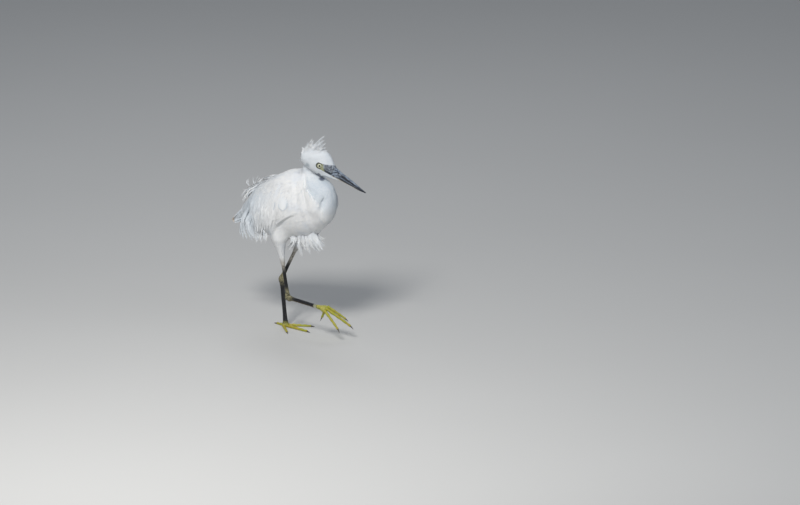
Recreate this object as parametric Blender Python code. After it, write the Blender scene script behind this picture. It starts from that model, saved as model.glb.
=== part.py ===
"""Little egret, life size, in mid stride: a still model of separate closed solids.

The bird walks towards +X, +Y is its left and +Z is up. The origin is on the floor, under the ball
of the standing (left) foot. Head, neck, torso, wings, tail, thighs, shanks, tarsi, toes, claws, bill
halves and eyes are one solid each, a thin gap apart. Feathers are tapered blades fused to their node.
"""

import math

import bmesh
import bpy
import numpy as np

MM = 0.001
GAP = 0.3 * MM
CLEAR = 0.4
RANDOM_SEED = 7

# Where the body's parts stand: points in millimetres, forward, left, up.
MIDLINE = -6.0
TORSO_POINT = (18.0, MIDLINE, 274.0)
TORSO_PITCH = math.radians(15)
EYES_POINT = (113.6, -5.0, 382.4)
HEAD_TURN = math.radians(29)
HEAD_DIP = math.radians(29)
KNEE = {"left": (47.5, 18.0, 229.0), "right": (20.0, -40.0, 217.0)}
ANKLE = {"left": (-16.0, 5.0, 104.0), "right": (29.5, -22.0, 74.5)}
BALL = {"left": (0.0, 0.0, 0.0), "right": (129.4, -10.0, 65.5)}

# Torso profile along its own axis: place, half width, back height, belly height.
TORSO = np.array([
    (-130, 16, 15, -20),
    (-108, 29, 30, -34),
    (-76, 42, 49, -53),
    (-40, 49, 62, -66),
    (0, 52, 71, -71),
    (39, 51, 76, -71),
    (70, 43, 66, -65),
    (89, 29, 34, -46),
    (98, 9, -2, -22),
], float)
# Neck profile, upwards: height, half width, front, back.
NECK = np.array([
    (231, 5, 100, 84),
    (237, 14, 110, 77),
    (254, 27.5, 133, 70),
    (280, 33.5, 147, 66),
    (303, 34, 150.5, 66),
    (322, 32, 147, 66),
    (336, 29, 139.5, 65.5),
    (346, 24, 125, 65),
    (357, 19.5, 109, 64.5),
    (374, 16, 102, 69),
    (388, 9, 97, 78),
], float)
NECK_CUT = 331.0
# Head profile along the bill's direction, from between the eyes: place, half width, crown, throat.
HEAD = np.array([
    (-46, 5, 3, -7),
    (-42, 11, 11, -14),
    (-32, 16.5, 20.5, -20.5),
    (-18, 18.5, 27, -24),
    (-4, 18, 29, -24.5),
    (8, 15.5, 26.5, -23),
    (18, 12, 21, -20.5),
    (26, 9.2, 14.6, -17.8),
    (32, 7.4, 11.4, -15.2),
], float)
# Bill along the same axis: place, half width, culmen height, mouth line, chin height.
BILL = np.array([
    (32, 6.8, 10.8, -4.0, -14.2),
    (42, 5.8, 8.8, -3.4, -11.6),
    (54, 4.9, 7.0, -2.6, -9.8),
    (70, 4.1, 5.3, -2.0, -8.6),
    (86, 3.2, 3.1, -2.2, -7.4),
    (100, 2.2, 0.6, -2.5, -6.0),
    (109, 1.3, -0.9, -2.6, -4.4),
    (114, 0.6, -1.7, -2.5, -3.3),
], float)
NOSTRIL_PLACE = 43.0
NOSTRIL_HEIGHT = 4.0
NOSTRIL_LENGTH = 8.0
GAPE_PLACE = 21.0
GAPE_HEIGHT = -5.2
GAPE_SIDE = 11.6

EYE_RADIUS = 6.2
EYE_SIDE = 12.0
LID_RING = 5.2
LID_THICK = 1.25
LID_SIDE = 16.2

SHANK_RADIUS = 3.7
ANKLE_REACH = 11.0
FEATHERED_SHARE = 0.47
# Wing tiers: first and last place, count, then front, middle and rear root angles and lengths,
# width, how much they point back for each part down, and how far their roots stand off.
WING_TIERS = (
    (34, -62, 7, (48, 44, 42), (38, 40, 44), 20, 0.75, 4.0),
    (46, -70, 8, (76, 76, 66), (30, 36, 46), 19, 0.45, 4.5),
    (40, -74, 10, (88, 104, 94), (24, 36, 68), 18, 0.18, 3.0),
)
# Feathered leg: share of the way from its top to its end, radius.
THIGH = np.array([(0, 15), (0.12, 19), (0.32, 15.5), (0.55, 10.2), (0.8, 6.2), (1, 4.3)], float)

TOE_RADIUS = {"middle": 3.4, "inner": 3.0, "outer": 3.1, "hind": 3.2}
TOE_SPACING = 6.9
TOE_SPREAD = {
    "left": {"middle": 0, "inner": 36, "outer": 36},
    "right": {"middle": 0, "inner": 2, "outer": 24},
}
TOE_LENGTH = {"middle": 64.0, "inner": 47.0, "outer": 50.0, "hind": 26.0}
TOE_JOINTS = {"middle": 4, "inner": 3, "outer": 4, "hind": 2}
CLAW_LENGTH = {"middle": 10.0, "inner": 9.0, "outer": 8.5, "hind": 11.0}
CLAW_RADIUS = 1.75

WHITE = (0.86, 0.88, 0.90, 1)
PLUME = (0.80, 0.84, 0.88, 1)
HORN = (0.045, 0.055, 0.07, 1)
LEG_BLACK = (0.035, 0.033, 0.028, 1)
TOE_YELLOW = (0.60, 0.58, 0.14, 1)
CLAW_DARK = (0.05, 0.045, 0.04, 1)
EYE_YELLOW = (0.78, 0.77, 0.42, 1)
MATERIALS = {
    "plumage": (WHITE, 0.75),
    "plumes": (PLUME, 0.75),
    "bill_horn": (HORN, 0.35),
    "leg_scales": (LEG_BLACK, 0.45),
    "toe_scales": (TOE_YELLOW, 0.5),
    "claw_horn": (CLAW_DARK, 0.4),
    "eye": (EYE_YELLOW, 0.1),
}


def clear_scene():
    """Removes what the file started with."""
    for obj in list(bpy.data.objects):
        bpy.data.objects.remove(obj)


def material(name):
    """The Principled material of this name, made once."""
    found = bpy.data.materials.get(name)
    if found:
        return found
    colour, roughness = MATERIALS[name]
    made = bpy.data.materials.new(name)
    made.use_nodes = True
    shader = made.node_tree.nodes["Principled BSDF"]
    shader.inputs["Base Color"].default_value = colour
    shader.inputs["Roughness"].default_value = roughness
    return made


def profile(rows, keys):
    """Smooth curve through rows, whose first column is the key: cubic pieces with shared slopes."""
    known, values = rows[:, 0], rows[:, 1:]
    slopes = np.gradient(values, known, axis=0)
    piece = np.clip(np.searchsorted(known, keys, side="right") - 1, 0, len(known) - 2)
    span = (known[piece + 1] - known[piece])[:, None]
    t = (keys - known[piece])[:, None] / span
    start, end = values[piece], values[piece + 1]
    rise, fall = slopes[piece] * span, slopes[piece + 1] * span
    return (
        (2 * t**3 - 3 * t**2 + 1) * start
        + (t**3 - 2 * t**2 + t) * rise
        + (3 * t**2 - 2 * t**3) * end
        + (t**3 - t**2) * fall
    )


def unit(vector):
    """The vector at length one."""
    vector = np.asarray(vector, float)
    return vector / np.linalg.norm(vector)


def axes(turn, dip):
    """Forward, left and up of a part that is turned left and dipped, as the rows of a matrix."""
    forward = (math.cos(dip) * math.cos(turn), math.cos(dip) * math.sin(turn), -math.sin(dip))
    left = (-math.sin(turn), math.cos(turn), 0)
    return np.array([forward, left, np.cross(forward, left)])


TORSO_AXES = axes(0, -TORSO_PITCH)
HEAD_AXES = axes(HEAD_TURN, HEAD_DIP)


def in_torso(points):
    """Points of the torso's own frame, in the bird's frame."""
    return np.asarray(TORSO_POINT) + np.asarray(points) @ TORSO_AXES


def in_head(points):
    """Points of the head's own frame, in the bird's frame."""
    return np.asarray(EYES_POINT) + np.asarray(points) @ HEAD_AXES


def spaced(low, high, count):
    """Keys from low to high, closer together near both ends."""
    return low + (high - low) * (1 - np.cos(np.linspace(0, math.pi, count))) / 2


def circle(count):
    """Angles round a section, from its top over its left."""
    return np.arange(count) * 2 * math.pi / count


def node(name, points, faces, finish):
    """A closed mesh object from points in millimetres, with its faces turned outwards."""
    mesh = bpy.data.meshes.new(name)
    mesh.from_pydata((np.asarray(points) * MM).tolist(), [], [list(face) for face in faces])
    obj = bpy.data.objects.new(name, mesh)
    bpy.context.scene.collection.objects.link(obj)
    edit = bmesh.new()
    edit.from_mesh(mesh)
    bmesh.ops.recalc_face_normals(edit, faces=edit.faces)
    edit.to_mesh(mesh)
    edit.free()
    mesh.materials.append(material(finish))
    mesh.shade_smooth()
    return obj


def ring_faces(count, size):
    """Quads between count rings of size points, and a flat face over each end."""
    start = (np.arange(count - 1) * size)[:, None]
    here = np.arange(size)[None, :]
    after = (here + 1) % size
    quads = np.stack([start + here, start + after, start + size + after, start + size + here], -1)
    faces = quads.reshape(-1, 4).tolist()
    faces.append(list(range(size)))
    faces.append(list(range((count - 1) * size, count * size)))
    return faces


def loft(name, rings, finish):
    """A closed node through rings of points."""
    count, size = rings.shape[:2]
    return node(name, rings.reshape(-1, 3), ring_faces(count, size), finish)


def egg_points(rows, keys, angles, grow=0.0):
    """Ellipses across an axis, reaching the profile's upper and lower heights and its half width."""
    width, top, bottom = profile(rows, keys).T
    middle, height = (top + bottom) / 2, (top - bottom) / 2 + grow
    along = keys + grow * np.linspace(-1, 1, len(keys))
    return np.stack(
        [
            along[:, None] + 0 * angles,
            (width + grow)[:, None] * np.sin(angles),
            middle[:, None] + height[:, None] * np.cos(angles),
        ],
        -1,
    )


def torso_rings(grow=0.0):
    """The torso's sections, in the bird's frame."""
    keys = spaced(TORSO[0, 0], TORSO[-1, 0], 17)
    return in_torso(egg_points(TORSO, keys, circle(24), grow))


def torso_side(place, angle, out, side):
    """A point on the torso: place along it, angle down from the back, out from the skin."""
    place = np.atleast_1d(np.asarray(place, float))
    width, top, bottom = profile(TORSO, place).T
    middle, height = (top + bottom) / 2, (top - bottom) / 2 + out
    across = side * (width + out) * np.sin(angle)
    return in_torso(np.stack([place, across, middle + height * np.cos(angle)], -1))


def neck_heights():
    """Where the sections of the lower and the upper neck lie."""
    return (
        spaced(NECK[0, 0], NECK_CUT - GAP / MM / 2, 12),
        spaced(NECK_CUT + GAP / MM / 2, NECK[-1, 0], 9),
    )


def neck_rings(heights, grow=0.0):
    """Level ellipses from front to back of the neck, with a soft fold down its right side."""
    count = len(heights)
    width, front, back = profile(NECK, heights).T
    middle, reach = (front + back) / 2, (front - back) / 2 + grow
    angles = circle(18)
    fold = np.exp(-(((heights - 301) / 17) ** 2))[:, None] * np.exp(
        -(((angles - math.radians(318)) / 0.22) ** 2)
    )
    shrink = 1 - 0.16 * fold
    return np.stack(
        [
            middle[:, None] + reach[:, None] * np.cos(angles) * shrink,
            MIDLINE + (width + grow)[:, None] * np.sin(angles) * shrink,
            heights[:, None] + grow * np.linspace(-1, 1, count)[:, None] + 0 * angles,
        ],
        -1,
    )


def head_rings(grow=0.0):
    """The head's sections across the bill's direction."""
    keys = np.array([-46, -44, -40, -34, -26, -17, -8, 1, 9, 16, 22, 27, 32], float)
    return in_head(egg_points(HEAD, keys, circle(20), grow))


def tube_rings(path, widths, depths, facing, size):
    """Ellipses square to a path: widths lie across both the path and facing, depths along facing."""
    path = np.asarray(path, float)
    ahead = np.gradient(path, axis=0)
    ahead /= np.linalg.norm(ahead, axis=1)[:, None]
    across = np.cross(ahead, np.asarray(facing, float))
    across /= np.linalg.norm(across, axis=1)[:, None]
    out = np.cross(across, ahead)
    angles = circle(size)
    return (
        path[:, None]
        + across[:, None] * (np.asarray(widths, float)[:, None] * np.sin(angles))[..., None]
        + out[:, None] * (np.asarray(depths, float)[:, None] * np.cos(angles))[..., None]
    )


def blade(root, ahead, bend, face, length, width, thick=1.3):
    """A feather as a ridged blade: its line is root + length * (t ahead + t squared bend).

    It is narrow at the root, widest past its middle, and ends in a point. Both faces are split alike.
    """
    share = np.array([0, 0.28, 0.58, 0.84])
    broad = np.array([0.42, 0.86, 1.0, 0.66]) * width / 2
    deep = np.array([1.0, 0.9, 0.7, 0.5]) * thick / 2
    root, ahead, bend = (np.asarray(v, float) for v in (root, ahead, bend))
    line = root + length * (share[:, None] * ahead + share[:, None] ** 2 * bend)
    tip = root + length * (ahead + bend)
    along = ahead + 2 * share[:, None] * bend
    across = np.cross(along, np.asarray(face, float))
    across /= np.linalg.norm(across, axis=1)[:, None]
    out = np.cross(across, along)
    out /= np.linalg.norm(out, axis=1)[:, None]
    rings = np.stack(
        [
            line - across * broad[:, None],
            line + out * deep[:, None],
            line + across * broad[:, None],
            line - out * deep[:, None],
        ],
        1,
    )
    points = np.concatenate([rings.reshape(-1, 3), tip[None]])
    faces = [(0, 1, 3), (1, 2, 3)]
    for row in range(len(share) - 1):
        low, high = 4 * row, 4 * row + 4
        for edge, ridge in ((0, 1), (2, 1), (0, 3), (2, 3)):
            faces.append((low + edge, low + ridge, high + ridge))
            faces.append((low + edge, high + ridge, high + edge))
    last = 4 * (len(share) - 1)
    for corner in range(4):
        faces.append((last + corner, last + (corner + 1) % 4, len(points) - 1))
    return points, faces


def bake(obj):
    """Replaces an object's mesh by what its modifiers make of it."""
    graph = bpy.context.evaluated_depsgraph_get()
    made = bpy.data.meshes.new_from_object(obj.evaluated_get(graph))
    obj.modifiers.clear()
    obj.data = made


def keep_largest(obj):
    """Leaves only the closed surface that holds the most."""
    edit = bmesh.new()
    edit.from_mesh(obj.data)
    left, groups = set(edit.verts), []
    while left:
        reached, edge = set(), [left.pop()]
        while edge:
            vertex = edge.pop()
            reached.add(vertex)
            for link in vertex.link_edges:
                other = link.other_vert(vertex)
                if other in left:
                    left.discard(other)
                    edge.append(other)
        groups.append(reached)

    def held(group):
        corners = np.array([
            [tuple(loop.vert.co) for loop in triangle]
            for triangle in triangles
            if triangle[0].vert in group
        ])
        return np.linalg.det(corners).sum() if len(corners) else 0.0

    if len(groups) > 1:
        triangles = edit.calc_loop_triangles()
        best = max(groups, key=held)
        drop = [vertex for group in groups if group is not best for vertex in group]
        bmesh.ops.delete(edit, geom=drop, context="VERTS")
        edit.to_mesh(obj.data)
    edit.free()


def fuse(obj, blades, finish, solver="EXACT"):
    """Joins blades to their node in one Boolean union, and removes them."""
    group = bpy.data.collections.new(obj.name + "_blades")
    bpy.context.scene.collection.children.link(group)
    for number, (points, faces) in enumerate(blades):
        piece = node(f"{obj.name}_blade_{number}", points, faces, finish)
        bpy.context.scene.collection.objects.unlink(piece)
        group.objects.link(piece)
    union = obj.modifiers.new("fused_blades", "BOOLEAN")
    union.operation = "UNION"
    union.operand_type = "COLLECTION"
    union.collection = group
    union.solver = solver
    bake(obj)
    for piece in list(group.objects):
        bpy.data.objects.remove(piece)
    bpy.data.collections.remove(group)
    keep_largest(obj)


def cut(obj, cutters, solver="EXACT"):
    """Takes each cutter's space out of a node, and removes the cutter."""
    for cutter in cutters:
        taken = obj.modifiers.new("cut", "BOOLEAN")
        taken.operation = "DIFFERENCE"
        taken.object = cutter
        taken.solver = solver
        bake(obj)
        bpy.data.objects.remove(cutter)
    keep_largest(obj)


def ball(name, centre, radii, size, finish):
    """An ellipsoid of rings, in the head's frame."""
    polar = np.linspace(0, math.pi, size // 2 + 1)[1:-1]
    angles = circle(size)
    rings = np.stack(
        [
            centre[0] + radii[0] * np.sin(polar)[:, None] * np.cos(angles),
            centre[1] + radii[1] * np.cos(polar)[:, None] + 0 * angles,
            centre[2] + radii[2] * np.sin(polar)[:, None] * np.sin(angles),
        ],
        -1,
    )
    return loft(name, in_head(rings), finish)


def lid_ring(side):
    """The rim of bare skin round one eye: a ring of round section, tilted forward like the face."""
    facing = unit((0.22, side, 0.05))
    first = unit(np.cross(facing, (0, 0, 1)))
    second = np.cross(first, facing)
    around, section = circle(14), circle(6)
    spoke = np.cos(around)[:, None] * first + np.sin(around)[:, None] * second
    middle = np.array([0, side * LID_SIDE, 0]) + LID_RING * spoke
    points = (
        middle[:, None]
        + LID_THICK * np.cos(section)[None, :, None] * spoke[:, None]
        + LID_THICK * np.sin(section)[None, :, None] * facing
    )
    size = len(section)
    faces = []
    for row in range(len(around)):
        low, high = row * size, (row + 1) % len(around) * size
        for column in range(size):
            after = (column + 1) % size
            faces.append((low + column, low + after, high + after, high + column))
    return in_head(points.reshape(-1, 3)), faces


def crest_blades(rng):
    """Ruffled crest: ranks from the nape to the crown, which stand up in the wind behind."""
    blades = []
    for side, count in ((-6, 6), (0, 8), (6, 6)):
        for share in np.linspace(0, 1, count):
            along = -38 + 34 * share + rng.uniform(-1.5, 1.5)
            lean = math.radians(174 - 56 * share + rng.uniform(-9, 9))
            crown = profile(HEAD, np.array([along]))[0, 1]
            root = (along, side, crown - 7 - 0.04 * side**2)
            ahead = unit((math.cos(lean), 0.03 * side + rng.uniform(-0.1, 0.1), math.sin(lean)))
            length = 21 + 17 * math.sin(math.pi * (0.06 + 0.70 * share)) + rng.uniform(-2, 5)
            bend = np.array((0.05 + 0.20 * share, 0, -0.02))
            face = np.cross(ahead, (0, 1, 0))
            points, faces = blade(root, ahead, bend, face, length, 6.5)
            blades.append((in_head(points), faces))
    for height, back, length in ((-4, 0.95, 15), (4, 0.98, 15), (-12, 0.86, 14)):
        for side in (-6, 6):
            ahead = unit((-back, side * 0.02, 0.12 * height / 4))
            points, faces = blade((-36, side, height), ahead, (0, 0, -0.05), (0.2, 0, 1), length, 6)
            blades.append((in_head(points), faces))
    return blades


def make_head(rng):
    """Head with eyelids and crest, its eye sockets open."""
    head = loft("head", head_rings(), "plumage")
    lids = [lid_ring(side) for side in (-1, 1)]
    fuse(head, lids + crest_blades(rng), "plumage")
    radii = [EYE_RADIUS + GAP / MM] * 3
    cut(head, [ball("socket", (0, s * EYE_SIDE, 0), radii, 16, "eye") for s in (-1, 1)])
    gape = (12.0, 2.4, 0.45)
    cut(head, [ball("gape", (GAPE_PLACE, s * GAPE_SIDE, GAPE_HEIGHT), gape, 10, "eye") for s in (-1, 1)])
    for side, label in ((-1, "right"), (1, "left")):
        ball(f"eye_{label}", (0, side * EYE_SIDE, 0), [EYE_RADIUS] * 3, 16, "eye")
    return head


def bill_half(name, heights, edge, size=9):
    """One half of the bill: a rounded ridge over the flat mouth line, with its sides at edge."""
    places = BILL[:, 0]
    keys = np.concatenate([[places[0] + GAP / MM], np.linspace(places[0] + 5, places[-1], 11)])
    rows = profile(BILL, keys)
    width, line, ridge = rows[:, 0], rows[:, 2] + edge, rows[:, heights]
    angles = np.linspace(-math.pi / 2, math.pi / 2, size)
    rings = np.stack(
        [
            keys[:, None] + 0 * angles,
            width[:, None] * np.sin(angles),
            line[:, None] + (ridge - line)[:, None] * np.cos(angles) ** 0.85,
        ],
        -1,
    )
    rings[:, [0, -1], 2] = line[:, None]
    return loft(name, in_head(rings), "bill_horn")


def make_bill():
    """Upper and lower halves, which meet along the mouth line, and the slit nostrils."""
    upper = bill_half("bill_upper", 1, GAP / MM / 2)
    slits = []
    for side in (-1, 1):
        centre = (NOSTRIL_PLACE, side * 5.2, NOSTRIL_HEIGHT)
        slits.append(ball("nostril", centre, (NOSTRIL_LENGTH / 2, 1.2, 0.7), 10, "bill_horn"))
    cut(upper, slits)
    bill_half("bill_lower", 3, -GAP / MM / 2)


def make_neck():
    """Upper neck, cut to the head, and the folded lower neck over the breast."""
    low_heights, high_heights = neck_heights()
    upper = loft("neck_upper", neck_rings(high_heights), "plumage")
    cut(upper, [loft("head_space", head_rings(CLEAR), "plumage")])
    loft("neck_lower", neck_rings(low_heights), "plumage")


def leg_line(side):
    """Knee, end of the feathers, ankle and ball of one leg."""
    knee, ankle, ball_point = (np.array(v[side], float) for v in (KNEE, ANKLE, BALL))
    return knee, knee + FEATHERED_SHARE * (ankle - knee), ankle, ball_point


def thigh_rings(side, grow=0.0):
    """The feathered leg, from inside the body down to the bare shank."""
    knee, feathered, _, _ = leg_line(side)
    share = np.array([0, 0.06, 0.16, 0.32, 0.5, 0.7, 0.88, 1.0])
    radius = profile(THIGH, share)[:, 0] + grow
    down = unit(feathered - knee)
    path = knee + share[:, None] * (feathered - knee) + grow * np.linspace(-1, 1, 8)[:, None] * down
    return tube_rings(path, radius, radius * 1.08, (1, 0, 0), 14)


def make_leg(side):
    """Thigh, shank and tarsus of one leg."""
    knee, feathered, ankle, ball_point = leg_line(side)
    loft(f"thigh_{side}", thigh_rings(side), "plumage")
    down = unit(ankle - knee)
    top, bottom = feathered + down * 0.3, ankle - down * (ANKLE_REACH + 0.3)
    share = np.array([0, 0.2, 0.5, 0.8, 1.0])
    radius = SHANK_RADIUS * np.array([1.0, 0.94, 0.92, 1.0, 1.15])
    path = top + share[:, None] * (bottom - top)
    loft(f"shank_{side}", tube_rings(path, radius, radius * 1.1, (1, 0, 0), 12), "leg_scales")
    return make_tarsus(side, down, ankle, ball_point)


def tarsus_rings(side, down, ankle, ball_point, grow=0.0):
    """Ankle knob, the long bone, and its lower end widened for the three front toes.

    It lands on the sole of the standing foot, and runs straight into the lifted one.
    """
    ahead, sole = foot_axes(side)
    lifted = side == "right"
    landing = unit(ball_point - ankle) if lifted else sole
    reach = 3.0 if lifted else 0.0
    low = ball_point - landing * 9
    slope = unit(low - ankle)
    long_top = ankle + slope * 12
    path = [
        ankle - down * ANKLE_REACH,
        ankle - down * 3.5,
        ankle + (slope + down) * 1.2,
        ankle + slope * 6,
        long_top,
        long_top + (low - long_top) * 0.33,
        long_top + (low - long_top) * 0.68,
        low - slope * 10,
        low - slope * 2,
        ball_point - landing * 5.4,
        ball_point - landing * (2.4 - reach / 2),
        ball_point + landing * reach,
    ]
    widths = np.array([4.1, 4.9, 5.6, 5.4, 4.2, 3.6, 3.6, 4.2, 5.2, 7.4, 8.8, 7.6]) + grow
    depths = np.array([4.4, 5.9, 7.0, 7.2, 6.2, 5.2, 4.9, 5.4, 6.2, 6.6, 5.8, 4.2]) + grow
    rings = tube_rings(path, widths, depths, ahead, 12)
    if not lifted:
        last = rings[-1]
        rings[-1] = last - ((last - ball_point) @ sole)[:, None] * sole
    if grow:
        rings[-1] += landing * grow
        rings[0] -= down * grow
    return rings


def foot_axes(side):
    """The middle toe's direction and the way the sole faces."""
    if side == "left":
        return unit((1, 0, 0)), np.array((0, 0, -1.0))
    ahead = unit((0.70, 0.47, -0.53))
    sole = np.array((-0.654, 0.178, -0.704))
    return ahead, unit(sole - (sole @ ahead) * ahead)


def make_tarsus(side, down, ankle, ball_point):
    """The tarsus as a node."""
    return loft(f"tarsus_{side}", tarsus_rings(side, down, ankle, ball_point), "leg_scales")


def toe_path(side, toe):
    """Points of one toe's middle line, and the direction its claw takes."""
    ahead, sole = foot_axes(side)
    out = np.cross(ahead, -sole) * (-1 if side == "left" else 1)
    centre = np.array(BALL[side], float) - sole * TOE_RADIUS["middle"] * 0.86
    length = TOE_LENGTH[toe]
    droop = 0.0 if side == "left" else 0.06
    if toe == "hind":
        way = unit((-1, 0.08, 0)) if side == "left" else unit((-19, 6, -29))
        start = centre + way * (1.0 if side == "left" else 3.9)
        offset = np.zeros(3)
    else:
        spread = {"middle": 0.0, "outer": -1.0, "inner": 1.0}[toe]
        angle = math.radians(TOE_SPREAD[side][toe]) * spread
        way = ahead * math.cos(angle) - out * math.sin(angle)
        offset = -out * TOE_SPACING * spread
        start = centre + ahead * 1.0
    share = np.linspace(0, 1, 4 * TOE_JOINTS[toe] + 1)
    path = start + offset + share[:, None] * way * length
    path = path + (share**2)[:, None] * sole * length * droop
    end_way = unit(way + 2 * droop * sole)
    return share, path, end_way, sole


def make_toe(side, toe, knob):
    """One toe with its joint pads, and its claw. The standing foot's soles are flat on the floor."""
    share, path, end_way, sole = toe_path(side, toe)
    pads = 1 + 0.10 * np.cos(2 * math.pi * share * TOE_JOINTS[toe])
    radius = TOE_RADIUS[toe] * (1 - 0.30 * share) * pads
    radius[-1] *= 0.86
    if side == "left":
        path[:, 2] = radius * 0.86
    rings = tube_rings(path, radius, radius, -sole, 10)
    if side == "left":
        rings[..., 2] = np.maximum(rings[..., 2], 0)
    made = loft(f"toe_{side}_{toe}", rings, "toe_scales")
    cut(made, [knob])
    make_claw(side, toe, path[-1], end_way, sole)
    return made


def make_claw(side, toe, end, way, sole):
    """A curved, tapered claw that grows from the toe's flat end."""
    share = np.array([0, 0.25, 0.5, 0.75, 1.0])
    length = CLAW_LENGTH[toe]
    curve = 0.06 if side == "left" else 0.30
    radius = CLAW_RADIUS * (1 - 0.88 * share**1.2)
    path = end + way * (GAP / MM) + share[:, None] * way * length
    path = path + (share**2)[:, None] * sole * length * curve
    if side == "left":
        path[:, 2] = np.maximum(path[:, 2] - 0.8 * share, radius * 0.9 + 0.05)
    rings = tube_rings(path, radius, radius, -sole, 8)
    if side == "left":
        rings[..., 2] = np.maximum(rings[..., 2], 0.05)
    loft(f"claw_{side}_{toe}", rings, "claw_horn")


def wing_base(side, label):
    """The folded wing's body: a shell over the torso's side, sunk in it until it is cut clear."""
    places = np.array([-84, -76, -62, -44, -24, -4, 16, 36, 54, 66], float)
    share = np.linspace(0, 1, 9)
    low = np.radians(np.interp(places, [-84, -60, -15, 10, 40, 66], [98, 112, 124, 120, 107, 100]))
    high = np.radians(np.interp(places, [-84, -60, 10, 66], [34, 15, 13, 34]))
    angles = high[:, None] + (low - high)[:, None] * share
    thick = np.interp(places, [-84, -60, 30, 66], [2, 6.5, 7, 2])[:, None]
    outer = 1.2 + thick * np.sin(math.pi * share) ** 0.6
    size, count = len(share), len(places)
    sheets = []
    for out in (outer, 0 * outer - 4):
        for place, turn, stand in zip(places, angles, out):
            sheets.append(torso_side(np.full(size, place), turn, stand, side))
    faces = []
    for layer in (0, count * size):
        for i in range(count - 1):
            for j in range(size - 1):
                a = layer + i * size + j
                faces.append((a, a + 1, a + size + 1))
                faces.append((a, a + size + 1, a + size))
    rim = list(range(size))
    rim += [i * size + size - 1 for i in range(1, count)]
    rim += [(count - 1) * size + j for j in range(size - 2, -1, -1)]
    rim += [i * size for i in range(count - 2, 0, -1)]
    back = count * size
    for a, b in zip(rim, rim[1:] + rim[:1]):
        faces.append((a, b, back + b))
        faces.append((a, back + b, back + a))
    return node(f"wing_{label}", np.concatenate(sheets), faces, "plumage")


def wing_blades(side, rng):
    """Tiers of the folded wing, from its front to its rear: scapulars, coverts, and long feathers.

    The wind from behind lets the rear ones hang loose and lifts the left wing's scapulars.
    The wing's tip lies along the tail.
    """
    blades = []
    span = (0, 0.5, 1)
    for first, last, count, turns, lengths, width, back, stand in WING_TIERS:
        for share in np.linspace(0, 1, count):
            place = first + (last - first) * share
            turn = math.radians(np.interp(share, span, turns) + rng.uniform(-2, 2))
            root = torso_side(place, turn, stand, side)[0]
            out = unit(torso_side(place, turn, stand + 10, side)[0] - root)
            lie = np.array((-back - 0.2 * share, 0, -1))
            ahead = unit(unit(lie - (lie @ out) * out) + out * 0.10)
            bend = -out * 0.10 + np.array((rng.uniform(-0.05, 0.05), 0, 0))
            long = np.interp(share, span, lengths) * rng.uniform(0.92, 1.08)
            blades.append(blade(root, ahead, bend, out, long, width))
    for number in range(4 if side > 0 else 0):
        root = torso_side(-24 - 8 * number, math.radians(27 - 3 * number), 1.5, side)[0]
        ahead = unit((-0.95, 0.04, -0.16))
        blades.append(blade(root, ahead, (0, 0, -0.16), (0, 0.4, 1), 64, 19))
    for number in range(3):
        root = torso_side(-80, math.radians(62 + 9 * number), 2.0, side)[0]
        ahead = unit((-0.86, -0.20 * side, -0.48))
        blades.append(blade(root, ahead, (0, 0, -0.03), (0, side, 0.35), 56 - 5 * number, 14))
    return blades


def make_wing(side, label, rng):
    """One folded wing with its feathers, cut clear of torso, tail and thigh."""
    wing = wing_base(side, label)
    fuse(wing, wing_blades(side, rng), "plumage")
    clear = [loft("torso_space", torso_rings(CLEAR), "plumage")]
    cut(wing, clear)
    return wing


def back_plumes(rng):
    """Loose plumes of the back: a tuft blown down over the rump, and curled ones that stand up."""
    blades = []
    for number, (dip, length) in enumerate(((28, 50), (40, 52), (52, 46), (63, 40), (36, 44))):
        slope = math.radians(dip)
        across = -0.16 + 0.08 * number
        root = in_torso((-68, 6 - 4 * number, 42))
        ahead = unit((-math.cos(slope), across, -math.sin(slope) + 0.25))
        blades.append(blade(root, ahead, (0, 0, -0.22), (-0.3, 0.1, 1), length, 7.5))
    for place, turn, ahead, bend, length in (
        (-76, -0.10, (-1, -0.05, -0.05), (0.85, 0, 0.46), 52),
        (-69, -0.02, (-0.6, 0.0, 0.35), (0.30, 0, 0.45), 34),
        (-61, 0.02, (-0.35, 0.0, 0.55), (0.55, 0, 0.20), 36),
        (-84, -0.36, (-0.95, -0.15, 0.10), (0.30, 0, 0.30), 34),
    ):
        root = torso_side(place, turn, -5, 1)[0]
        blades.append(blade(root, ahead, bend, (0, 1, 0), length, 3.6))
    return blades


def belly_blades(rng):
    """Loose fringe under the breast, blown forward at its front, and wisps behind the thigh."""
    blades = []
    for side, count in ((-20, 6), (-4, 7), (14, 6)):
        for share in np.linspace(0, 1, count):
            place = -10 + 76 * share
            turn = math.pi - math.asin((side - MIDLINE) / 62)
            root = torso_side(place, turn, -8, 1)[0]
            ahead = unit((-0.34 + 0.72 * share, 0.006 * side + rng.uniform(-0.06, 0.06), -0.92))
            bend = np.array((0.02 + 0.14 * share, rng.uniform(-0.06, 0.06), 0.04 + 0.08 * share))
            length = 35 + 9 * math.sin(math.pi * share) + rng.uniform(-5, 7)
            blades.append(blade(root, ahead, bend, (0.25, -1, 0.1), length, 9))
    for place in (-70, -58, -46):
        for side in (-30, 16):
            turn = math.pi - math.asin((side - MIDLINE) / 62)
            root = torso_side(place, turn, -8, 1)[0]
            blades.append(blade(root, unit((0.05, 0, -1)), (0.1, 0, 0), (0.25, -1, 0.1), 30, 8))
    return blades


def make_torso(rng):
    """The torso with its loose back plumes and belly fringe, opened for the neck and the thighs."""
    torso = loft("torso", torso_rings(), "plumage")
    fuse(torso, back_plumes(rng) + belly_blades(rng), "plumes")
    spaces = [neck_rings(np.concatenate(neck_heights()), CLEAR)]
    spaces += [thigh_rings(side, CLEAR) for side in ("left", "right")]
    cut(torso, [loft("space", rings, "plumage") for rings in spaces])
    return torso


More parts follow.
